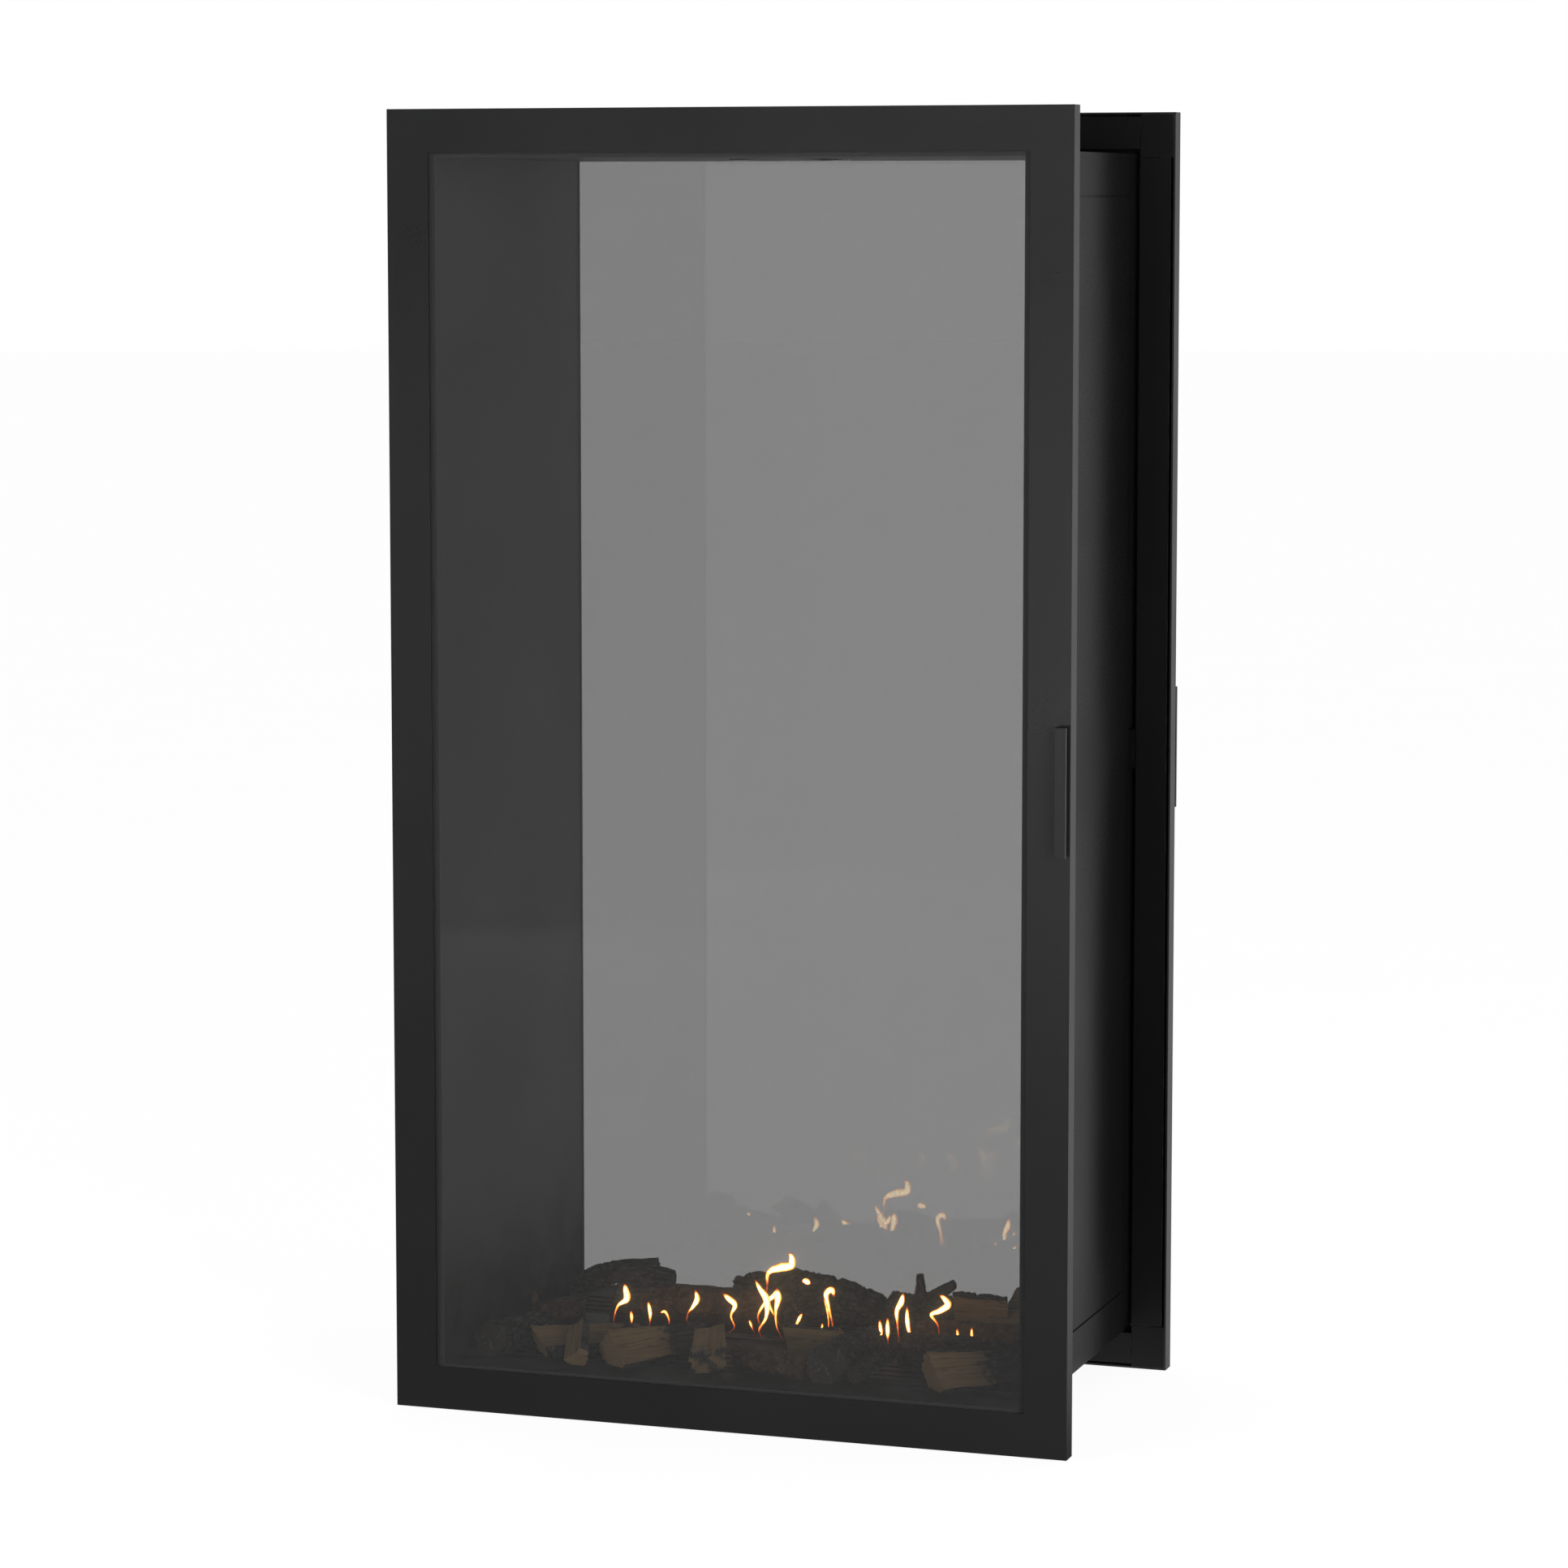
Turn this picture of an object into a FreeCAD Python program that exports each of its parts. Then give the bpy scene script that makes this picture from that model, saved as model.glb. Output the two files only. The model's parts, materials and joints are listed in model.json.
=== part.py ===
"""Double-sided portrait fireplace: a see-through gas fire with a hinged glass door on each face.

Frame: millimetres, +Z up, origin at the bottom centre. X runs across the doors, Y through the
fireplace. The front door faces -Y and the rear door is its mirror image in the plane Y = 0.
"""
import FreeCAD, Part
import math
import os

V = FreeCAD.Vector

# Door frames
FRAME_WIDTH = 700.0
FRAME_HEIGHT = 1300.0
FRAME_DEPTH = 20.0
FRAME_FACE = 43.0
FRAME_GAP = 370.0
FACE_SHEET = 2.0

# Glazing
GLASS_THICKNESS = 4.0
GLASS_BITE = 5.0
SEAL_DEPTH = 2.5
SEAL_WIDTH = 7.0
SEAL_GAP = 0.3
BAR_SHEET = 1.5
BAR_GLASS_GAP = 1.0
BAR_LIP_GAP = 2.5
CORNER_HEIGHT = 46.0
JOINT_GAP = 0.5

# Casing and firebox liner
CASING_INSET = 42.0
CASING_SHEET = 1.5
CASING_SETBACK = 8.0
PAN_FLANGE = 42.0
SEAM = 2.0
SEAM_TAB = 14.0
LINER_SHEET = 1.5
LINER_INSET = 6.0
LINER_BEND = 1.0

# Flue
FLUE_OUTER_RADIUS = 75.0
FLUE_INNER_RADIUS = 50.0
FLUE_SHEET = 1.5
FLUE_HEIGHT = 40.0
FLUE_FLANGE = 12.0
FLUE_FIT = 0.05

# Burner and bed
BED_THICKNESS = 3.0
BED_MARGIN = 17.0
BED_FIT = 0.3
PLATE_DEPTH = 116.0
GRILLE_DEPTH = 76.0
GRILLE_OFFSET = 100.0
SLOT_ROWS = 4
SLOT_COLUMNS = 3
SLOT_WIDTH = 9.0
SLOT_BRIDGE = 14.0
PORT_LENGTH = 412.0
PORT_STEM = 12.0
PORT_CAP = 18.0
PORT_CAP_HEIGHT = 2.0
PORT_SLOTS = 14
PORT_SLOT_WIDTH = 2.0
PORT_BRIDGE = 8.0
BURNER_DEPTH = 70.0
BURNER_HEIGHT = 28.0
BURNER_END = 14.0
BURNER_FLANGE = 10.0
BURNER_SHEET = 1.5
INLET_RADIUS = 7.5
INLET_BORE = 6.5
INLET_LENGTH = 30.0
INLET_DROP = 17.0
PILOT_X = 96.0
PILOT_Y = 20.0
PILOT_PITCH = 15.0
PILOT_STEM_RADIUS = 4.0
PILOT_STEM = 9.0
PILOT_CAP_RADIUS = 6.0
PILOT_CAP = 6.0
SENSOR_RADIUS = 3.5
SENSOR_HEIGHT = 8.0
SENSOR_TIP_RADIUS = 2.0
SENSOR_TIP = 9.0
SPARK_WIRE = 2.0
SPARK_GAP = 3.0

# Hinges, catches and handles
HINGE_INSET = 11.0
HINGE_DEPTH = 11.0
PIN_RADIUS = 4.0
PIN_FIT = 0.02
PIVOT_FIT = 0.05
PIN_HEAD_RADIUS = 6.0
PIN_HEAD = 2.0
STRAP_THICKNESS = 4.0
STRAP_TIP_RADIUS = 8.0
STRAP_NECK = 10.0
STRAP_NECK_LENGTH = 18.0
STRAP_BASE_LENGTH = 60.0
STRAP_BASE_DEPTH = 36.0
STRAP_EDGE = 6.0
WASHER_RADIUS = 7.5
WASHER_THICKNESS = 2.0
PIVOT_GAP = 0.1
PIVOT_BLOCK = 18.0
PIVOT_BLOCK_HEIGHT = 20.0
CATCH_HEIGHT = 40.0
CATCH_GAP = 0.5
HANDLE_LENGTH = 125.0
HANDLE_WIDTH = 11.0
HANDLE_PROUD = 13.0
HANDLE_WALL = 4.0
HANDLE_EDGE = 1.5

# Log bed: clear border to the liner walls and to the glass side
LOG_CLEARANCE = 8.0
LOG_UNIT_LENGTH = 1.0

# Derived planes
FACE_Y = FRAME_GAP / 2 + FRAME_DEPTH
LIP_Y = FRAME_GAP / 2
MIDDLE_Z = FRAME_HEIGHT / 2
HALF_WIDTH = FRAME_WIDTH / 2
OPEN_HALF_X = HALF_WIDTH - FRAME_FACE
OPEN_HALF_Z = MIDDLE_Z - FRAME_FACE
GLASS_BACK = FACE_SHEET + GLASS_THICKNESS
CASING_X = HALF_WIDTH - CASING_INSET
CASING_BOTTOM = CASING_INSET
CASING_TOP = FRAME_HEIGHT - CASING_INSET
CASING_Y = LIP_Y - CASING_SETBACK
LINER_X = CASING_X - LINER_INSET
LINER_Y = FACE_Y - GLASS_BACK - SEAL_DEPTH - SEAL_GAP
FLOOR_BOTTOM = CASING_BOTTOM + CASING_SHEET
FLOOR_TOP = FLOOR_BOTTOM + LINER_SHEET
CEILING = CASING_TOP - LINER_INSET
BED_TOP = FLOOR_BOTTOM + BED_THICKNESS
BED_HALF_X = LINER_X - BED_MARGIN
HINGE_X = HINGE_INSET - HALF_WIDTH
HINGE_Y = HINGE_DEPTH - FACE_Y
STRAP_Z = CASING_TOP
PIVOT_Z = STRAP_Z + STRAP_THICKNESS + WASHER_THICKNESS
LOG_REACH_X = LINER_X - LOG_CLEARANCE
LOG_REACH_Y = LINER_Y - LINER_SHEET - LOG_CLEARANCE


def box(x0, x1, y0, y1, z0, z1):
    """Block between two opposite corners."""
    return Part.makeBox(x1 - x0, y1 - y0, z1 - z0, V(x0, y0, z0))


def prism(points, along):
    """Straight solid on a flat outline of points."""
    outline = Part.makePolygon(points + points[:1])
    return Part.Face(outline).extrude(along)


def rod(radius, start, along):
    """Round bar from a start point along a vector."""
    return Part.makeCylinder(radius, along.Length, start, along)


def tube(outer, inner, start, along):
    """Round tube from a start point along a vector."""
    return rod(outer, start, along).cut(rod(inner, start, along))


def flip_x(shape):
    return shape.mirror(V(0, 0, 0), V(1, 0, 0))


def flip_y(shape):
    return shape.mirror(V(0, 0, 0), V(0, 1, 0))


def flip_z(shape):
    return shape.mirror(V(0, 0, MIDDLE_Z), V(0, 0, 1))


def group(*shapes):
    """Separate solids of one node."""
    return Part.makeCompound(list(shapes))


def inward(distance):
    """Y of a plane this far behind the front face of the front door."""
    return distance - FACE_Y


# Doors: every piece is built for the front and mirrored for the rear

def face_frame():
    """Folded tray: a face sheet with the window opening and a lip all round."""
    tray = box(-HALF_WIDTH, HALF_WIDTH, inward(0), inward(FRAME_DEPTH), 0, FRAME_HEIGHT)
    hollow = box(FACE_SHEET - HALF_WIDTH, HALF_WIDTH - FACE_SHEET, inward(FACE_SHEET),
                 inward(FRAME_DEPTH), FACE_SHEET, FRAME_HEIGHT - FACE_SHEET)
    window = box(-OPEN_HALF_X, OPEN_HALF_X, inward(0), inward(FACE_SHEET),
                 MIDDLE_Z - OPEN_HALF_Z, MIDDLE_Z + OPEN_HALF_Z)
    return tray.cut(hollow).cut(window)


def glass():
    """Flat pane behind the face sheet, caught all round by its bite."""
    half_x = OPEN_HALF_X + GLASS_BITE
    half_z = OPEN_HALF_Z + GLASS_BITE
    return box(-half_x, half_x, inward(FACE_SHEET), inward(GLASS_BACK),
               MIDDLE_Z - half_z, MIDDLE_Z + half_z)


def seal():
    """Ribbon gasket on the back of the pane, facing the liner's flange."""
    outer_x = CASING_X
    inner_x = CASING_X - SEAL_WIDTH
    outer_z = MIDDLE_Z - CASING_BOTTOM
    ring = box(-outer_x, outer_x, inward(GLASS_BACK), inward(GLASS_BACK + SEAL_DEPTH),
               MIDDLE_Z - outer_z, MIDDLE_Z + outer_z)
    inner_z = MIDDLE_Z - FLOOR_TOP
    hole = box(-inner_x, inner_x, inward(GLASS_BACK), inward(GLASS_BACK + SEAL_DEPTH),
               MIDDLE_Z - inner_z, MIDDLE_Z + inner_z)
    return ring.cut(hole)


def bar_profile(opening_half, frame_half):
    """Folded glazing bar as (outward, depth) points: a lip on the pane, a web and a foot on the sheet."""
    lip = opening_half + BAR_SHEET
    inner = opening_half + GLASS_BITE + BAR_GLASS_GAP
    outer = frame_half - FACE_SHEET - BAR_LIP_GAP
    back = FRAME_DEPTH
    return [
        (lip, GLASS_BACK),
        (inner + BAR_SHEET, GLASS_BACK),
        (inner + BAR_SHEET, back - BAR_SHEET),
        (outer - BAR_SHEET, back - BAR_SHEET),
        (outer - BAR_SHEET, FACE_SHEET),
        (outer, FACE_SHEET),
        (outer, back),
        (inner, back),
        (inner, GLASS_BACK + BAR_SHEET),
        (lip, GLASS_BACK + BAR_SHEET),
    ]


def stile_bars():
    """Upright glazing bars between the corner fields."""
    profile = bar_profile(OPEN_HALF_X, HALF_WIDTH)
    points = [V(out, inward(depth), CORNER_HEIGHT) for out, depth in profile]
    right = prism(points, V(0, 0, FRAME_HEIGHT - 2 * CORNER_HEIGHT))
    return group(right, flip_x(right))


def rail_bars():
    """Top and bottom glazing bars over the width of the pane."""
    half = OPEN_HALF_X + GLASS_BITE + BAR_GLASS_GAP
    profile = bar_profile(OPEN_HALF_Z, MIDDLE_Z)
    points = [V(-half, inward(depth), MIDDLE_Z + out) for out, depth in profile]
    top = prism(points, V(2 * half, 0, 0))
    return group(top, flip_z(top))


def corner_plates():
    """Angle plates that close the tray's two corners on the handle side."""
    x0 = OPEN_HALF_X + GLASS_BITE + BAR_GLASS_GAP + JOINT_GAP
    x1 = HALF_WIDTH - FACE_SHEET
    z0 = FRAME_HEIGHT - CORNER_HEIGHT + JOINT_GAP
    z1 = FRAME_HEIGHT - FACE_SHEET
    back = inward(FRAME_DEPTH)
    plate = box(x0, x1, back - BAR_SHEET, back, z0, z1)
    foot = box(x1 - BAR_SHEET, x1, inward(FACE_SHEET), back, z0, z1)
    top = plate.fuse(foot).removeSplitter()
    return group(top, flip_z(top))


def handle():
    """Angle-section pull: a web on the face sheet and a flange that leaves a finger recess."""
    x1 = HALF_WIDTH - HANDLE_EDGE
    x0 = x1 - HANDLE_WIDTH
    front = inward(-HANDLE_PROUD)
    points = [
        V(x0, inward(0), 0),
        V(x0 + HANDLE_WALL, inward(0), 0),
        V(x0 + HANDLE_WALL, front + HANDLE_WALL, 0),
        V(x1, front + HANDLE_WALL, 0),
        V(x1, front, 0),
        V(x0, front, 0),
    ]
    low_end = V(0, 0, MIDDLE_Z - HANDLE_LENGTH / 2)
    return prism([point + low_end for point in points], V(0, 0, HANDLE_LENGTH))


def pivot_blocks():
    """Bushed blocks in the tray's hinge corners, carrying the door on its pins."""
    half = PIVOT_BLOCK / 2
    block = box(HINGE_X - half, HINGE_X + half, HINGE_Y - half, HINGE_Y + half,
                PIVOT_Z + PIVOT_GAP, PIVOT_Z + PIVOT_BLOCK_HEIGHT)
    bore = rod(PIN_RADIUS + PIVOT_FIT, V(HINGE_X, HINGE_Y, PIVOT_Z), V(0, 0, PIVOT_BLOCK_HEIGHT))
    top = block.cut(bore)
    return group(top, flip_z(top))


# Hinge hardware on the casing

def hinge_strap():
    """Flat strap from the casing's top to the pin, with a narrow neck that the open door clears."""
    base_x = STRAP_EDGE - CASING_X
    base_y = STRAP_EDGE - CASING_Y
    neck = STRAP_NECK / 2
    neck_x = HINGE_X + STRAP_NECK_LENGTH
    points = [
        V(HINGE_X, HINGE_Y - neck, STRAP_Z),
        V(neck_x, HINGE_Y - neck, STRAP_Z),
        V(base_x + STRAP_EDGE, base_y, STRAP_Z),
        V(base_x + STRAP_BASE_LENGTH, base_y, STRAP_Z),
        V(base_x + STRAP_BASE_LENGTH, base_y + STRAP_BASE_DEPTH, STRAP_Z),
        V(base_x, base_y + STRAP_BASE_DEPTH, STRAP_Z),
        V(base_x, base_y + STRAP_EDGE, STRAP_Z),
        V(neck_x, HINGE_Y + neck, STRAP_Z),
        V(HINGE_X, HINGE_Y + neck, STRAP_Z),
    ]
    arm = prism(points, V(0, 0, STRAP_THICKNESS))
    tip = rod(STRAP_TIP_RADIUS, V(HINGE_X, HINGE_Y, STRAP_Z), V(0, 0, STRAP_THICKNESS))
    eye = rod(PIN_RADIUS + PIN_FIT, V(HINGE_X, HINGE_Y, STRAP_Z), V(0, 0, STRAP_THICKNESS))
    return arm.fuse(tip).cut(eye).removeSplitter()


def hinge_pin():
    """Headed pin, fixed in the strap's eye and running in the door's pivot block."""
    head = rod(PIN_HEAD_RADIUS, V(HINGE_X, HINGE_Y, STRAP_Z - PIN_HEAD), V(0, 0, PIN_HEAD))
    length = PIVOT_Z + PIVOT_BLOCK_HEIGHT - STRAP_Z
    return head.fuse(rod(PIN_RADIUS, V(HINGE_X, HINGE_Y, STRAP_Z), V(0, 0, length)))


def thrust_washer():
    """Washer on the top strap that carries the door's weight."""
    start = V(HINGE_X, HINGE_Y, STRAP_Z + STRAP_THICKNESS)
    return tube(WASHER_RADIUS, PIN_RADIUS + PIN_FIT, start, V(0, 0, WASHER_THICKNESS))


def four_corners(shape):
    """A hinge piece at the top and bottom of both doors."""
    low = flip_z(shape)
    return group(shape, low, flip_y(shape), flip_y(low))


def catch_magnets():
    """Magnet blocks on the liner beside each door's free bar."""
    x0 = LINER_X + LINER_SHEET
    x1 = OPEN_HALF_X + GLASS_BITE + BAR_GLASS_GAP - CATCH_GAP
    y0 = LINER_SHEET + SEAL_GAP - LINER_Y
    front = box(x0, x1, y0, -CASING_Y, MIDDLE_Z - CATCH_HEIGHT / 2, MIDDLE_Z + CATCH_HEIGHT / 2)
    return group(front, flip_y(front))


# Casing

def casing_side():
    """Right side panel with joggled tabs behind the pan flanges and returns against the liner."""
    outer = CASING_X
    inner = CASING_X - CASING_SHEET
    z0 = CASING_BOTTOM + PAN_FLANGE + SEAM
    z1 = CASING_TOP - PAN_FLANGE - SEAM
    skin = box(inner, outer, -CASING_Y, CASING_Y, z0, z1)
    front = box(LINER_X + LINER_SHEET, inner, -CASING_Y, CASING_SHEET - CASING_Y, z0, z1)
    tab = box(inner - CASING_SHEET, inner, CASING_SHEET - CASING_Y, CASING_Y - CASING_SHEET,
              z1 - SEAM, z1 + SEAM_TAB)
    return skin.fuse([front, flip_y(front), tab, flip_z(tab)]).removeSplitter()


def casing_bottom_pan():
    """Bottom pan with side flanges and the burner's slot."""
    plate = box(-CASING_X, CASING_X, -CASING_Y, CASING_Y, CASING_BOTTOM, FLOOR_BOTTOM)
    flange = box(CASING_X - CASING_SHEET, CASING_X, -CASING_Y, CASING_Y,
                 CASING_BOTTOM, CASING_BOTTOM + PAN_FLANGE)
    return plate.fuse([flange, flip_x(flange)]).cut(port_slot()).removeSplitter()


def casing_top_pan():
    """Top pan with side flanges and the air hole inside the flue's outer collar."""
    plate = box(-CASING_X, CASING_X, -CASING_Y, CASING_Y, CASING_TOP - CASING_SHEET, CASING_TOP)
    flange = box(CASING_X - CASING_SHEET, CASING_X, -CASING_Y, CASING_Y,
                 CASING_TOP - PAN_FLANGE, CASING_TOP)
    hole = rod(FLUE_OUTER_RADIUS - FLUE_SHEET, V(0, 0, CASING_TOP - CASING_SHEET), V(0, 0, CASING_SHEET))
    return plate.fuse([flange, flip_x(flange)]).cut(hole).removeSplitter()


# Liner

def liner_wall():
    """Right wall with a flange turned outwards at each glazed end."""
    inner = LINER_X
    outer = LINER_X + LINER_SHEET
    end = LINER_Y
    step = LINER_Y - LINER_SHEET
    z0 = CASING_BOTTOM
    profile = [
        V(inner, LINER_BEND - end, z0),
        V(inner + LINER_BEND, -end, z0),
        V(CASING_X, -end, z0),
        V(CASING_X, -step, z0),
        V(outer, -step, z0),
        V(outer, step, z0),
        V(CASING_X, step, z0),
        V(CASING_X, end, z0),
        V(inner + LINER_BEND, end, z0),
        V(inner, end - LINER_BEND, z0),
    ]
    return prism(profile, V(0, 0, CASING_TOP - CASING_BOTTOM)).cut(group(pan_space(), flip_z(pan_space())))


def pan_space():
    """Space that the top pan takes up."""
    return box(-CASING_X, CASING_X, -CASING_Y, CASING_Y, CASING_TOP - CASING_SHEET, CASING_TOP)


def liner_floor():
    """Floor on the bottom pan, with a turned-down edge at each door and cut-outs for the bed."""
    plate = box(-LINER_X, LINER_X, -LINER_Y, LINER_Y, FLOOR_BOTTOM, FLOOR_TOP)
    edge = box(-LINER_X, LINER_X, -LINER_Y, LINER_SHEET - LINER_Y, CASING_BOTTOM, FLOOR_TOP)
    cuts = [bed_space(0, PLATE_DEPTH), bed_space(-GRILLE_OFFSET, GRILLE_DEPTH),
            bed_space(GRILLE_OFFSET, GRILLE_DEPTH)]
    return plate.fuse([edge, flip_y(edge)]).cut(cuts).removeSplitter()


def liner_ceiling():
    """Ceiling with a turned-up edge at each door and the flue's outlet."""
    plate = box(-LINER_X, LINER_X, -LINER_Y, LINER_Y, CEILING, CEILING + LINER_SHEET)
    edge = box(-LINER_X, LINER_X, -LINER_Y, LINER_SHEET - LINER_Y, CEILING, CASING_TOP)
    outlet = rod(FLUE_INNER_RADIUS + FLUE_FIT, V(0, 0, CEILING), V(0, 0, LINER_SHEET))
    return plate.fuse([edge, flip_y(edge)]).cut(outlet).removeSplitter()


# Flue

def flue_outer_collar():
    """Air-side collar standing on the top pan."""
    start = V(0, 0, CASING_TOP)
    wall = tube(FLUE_OUTER_RADIUS, FLUE_OUTER_RADIUS - FLUE_SHEET, start, V(0, 0, FLUE_HEIGHT))
    flange = tube(FLUE_OUTER_RADIUS + FLUE_FLANGE, FLUE_OUTER_RADIUS - FLUE_SHEET, start,
                  V(0, 0, FLUE_SHEET))
    return wall.fuse(flange).removeSplitter()


def flue_inner_spigot():
    """Flue gas spigot, flanged under the liner's ceiling."""
    inner = FLUE_INNER_RADIUS - FLUE_SHEET
    height = CASING_TOP + FLUE_HEIGHT - CEILING
    wall = tube(FLUE_INNER_RADIUS, inner, V(0, 0, CEILING), V(0, 0, height))
    flange = tube(FLUE_INNER_RADIUS + FLUE_FLANGE, inner, V(0, 0, CEILING - FLUE_SHEET), V(0, 0, FLUE_SHEET))
    return wall.fuse(flange).removeSplitter()


# Burner bed

def bed_space(middle, depth):
    """Cut-out in the floor for one bed plate, with its fit all round."""
    half_x = BED_HALF_X + BED_FIT
    half_y = depth / 2 + BED_FIT
    return box(-half_x, half_x, middle - half_y, middle + half_y, FLOOR_BOTTOM, FLOOR_TOP)


def bed_blank(middle, depth):
    """Plate that drops into one cut-out of the floor and rests on the pan."""
    return box(-BED_HALF_X, BED_HALF_X, middle - depth / 2, middle + depth / 2, FLOOR_BOTTOM, BED_TOP)


def port_slot():
    """Slot that the burner's port bar passes through."""
    half_x = PORT_LENGTH / 2 + BED_FIT
    half_y = PORT_STEM / 2 + BED_FIT
    return box(-half_x, half_x, -half_y, half_y, CASING_BOTTOM, BED_TOP)


def burner_plate():
    """Black plate on either side of the port bar."""
    return bed_blank(0, PLATE_DEPTH).cut(port_slot())


def bed_grille():
    """Rear air grille: rows of long slots between slats."""
    pitch_y = GRILLE_DEPTH / SLOT_ROWS
    pitch_x = 2 * (BED_HALF_X - SLOT_BRIDGE / 2) / SLOT_COLUMNS
    slots = []
    for row in range(SLOT_ROWS):
        y = GRILLE_OFFSET + (row - (SLOT_ROWS - 1) / 2) * pitch_y
        for column in range(SLOT_COLUMNS):
            x = (column - (SLOT_COLUMNS - 1) / 2) * pitch_x
            half = (pitch_x - SLOT_BRIDGE) / 2
            slots.append(box(x - half, x + half, y - SLOT_WIDTH / 2, y + SLOT_WIDTH / 2,
                             FLOOR_BOTTOM, BED_TOP))
    return bed_blank(GRILLE_OFFSET, GRILLE_DEPTH).cut(slots)


def burner_port_bar():
    """Tee bar with a row of flame slots, its stem reaching down into the burner box."""
    half = PORT_LENGTH / 2
    cap_half = half + (PORT_CAP - PORT_STEM) / 2
    top = BED_TOP + PORT_CAP_HEIGHT
    bottom = CASING_BOTTOM - BURNER_SHEET
    stem = box(-half, half, -PORT_STEM / 2, PORT_STEM / 2, bottom, BED_TOP)
    cap = box(-cap_half, cap_half, -PORT_CAP / 2, PORT_CAP / 2, BED_TOP, top)
    pitch = (PORT_LENGTH - PORT_BRIDGE) / PORT_SLOTS
    ports = []
    for index in range(PORT_SLOTS):
        x = (index - (PORT_SLOTS - 1) / 2) * pitch
        ports.append(box(x - (pitch - PORT_BRIDGE) / 2, x + (pitch - PORT_BRIDGE) / 2,
                         -PORT_SLOT_WIDTH / 2, PORT_SLOT_WIDTH / 2, bottom, top))
    return stem.fuse(cap).cut(ports).removeSplitter()


def burner_box():
    """Gas and air mixing box hung under the bottom pan by its long top flanges."""
    half_x = PORT_LENGTH / 2 + BURNER_END
    half_y = BURNER_DEPTH / 2
    z0 = CASING_BOTTOM - BURNER_HEIGHT
    z1 = CASING_BOTTOM
    shell = box(-half_x, half_x, -half_y, half_y, z0, z1)
    flange = box(-half_x, half_x, -half_y - BURNER_FLANGE, half_y + BURNER_FLANGE, z1 - BURNER_SHEET, z1)
    hollow = box(BURNER_SHEET - half_x, half_x - BURNER_SHEET, BURNER_SHEET - half_y,
                 half_y - BURNER_SHEET, z0 + BURNER_SHEET, z1)
    entry = rod(INLET_BORE, V(-half_x, 0, z1 - INLET_DROP), V(BURNER_SHEET, 0, 0))
    return shell.fuse(flange).cut([hollow, entry]).removeSplitter()


def gas_inlet():
    """Plain tail for the gas pipe on the end of the burner box."""
    start = V(-PORT_LENGTH / 2 - BURNER_END, 0, CASING_BOTTOM - INLET_DROP)
    return tube(INLET_RADIUS, INLET_BORE, start, V(-INLET_LENGTH, 0, 0))


def pilot_hood():
    """Pilot burner: a stem with a wider cap."""
    stem = rod(PILOT_STEM_RADIUS, V(PILOT_X, PILOT_Y, BED_TOP), V(0, 0, PILOT_STEM))
    cap = rod(PILOT_CAP_RADIUS, V(PILOT_X, PILOT_Y, BED_TOP + PILOT_STEM), V(0, 0, PILOT_CAP))
    return stem.fuse(cap)


def spark_electrode():
    """Ceramic insulator with the spark wire bent over towards the pilot."""
    x = PILOT_X + PILOT_PITCH
    half = SPARK_WIRE / 2
    top = BED_TOP + PILOT_STEM + PILOT_CAP / 2
    ceramic = rod(SENSOR_RADIUS, V(x, PILOT_Y, BED_TOP), V(0, 0, SENSOR_HEIGHT))
    wire = box(x - half, x + half, PILOT_Y - half, PILOT_Y + half, BED_TOP + SENSOR_HEIGHT, top)
    reach = PILOT_CAP_RADIUS + SPARK_GAP
    tip = box(PILOT_X + reach, x + half, PILOT_Y - half, PILOT_Y + half, top - SPARK_WIRE, top)
    return ceramic.fuse([wire, tip]).removeSplitter()


def thermocouple():
    """Flame sensor: a sleeve with a thinner tip."""
    x = PILOT_X - PILOT_PITCH
    sleeve = rod(SENSOR_RADIUS, V(x, PILOT_Y, BED_TOP), V(0, 0, SENSOR_HEIGHT))
    tip = rod(SENSOR_TIP_RADIUS, V(x, PILOT_Y, BED_TOP + SENSOR_HEIGHT), V(0, 0, SENSOR_TIP))
    return sleeve.fuse(tip)


# Logs: stations are (across, through, height above the bed, radius); across and through are shares
# of the bed's reach, heights and radii count log steps. A split log is a wedge with its flat side
# rolled round by a turn in degrees.

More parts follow.
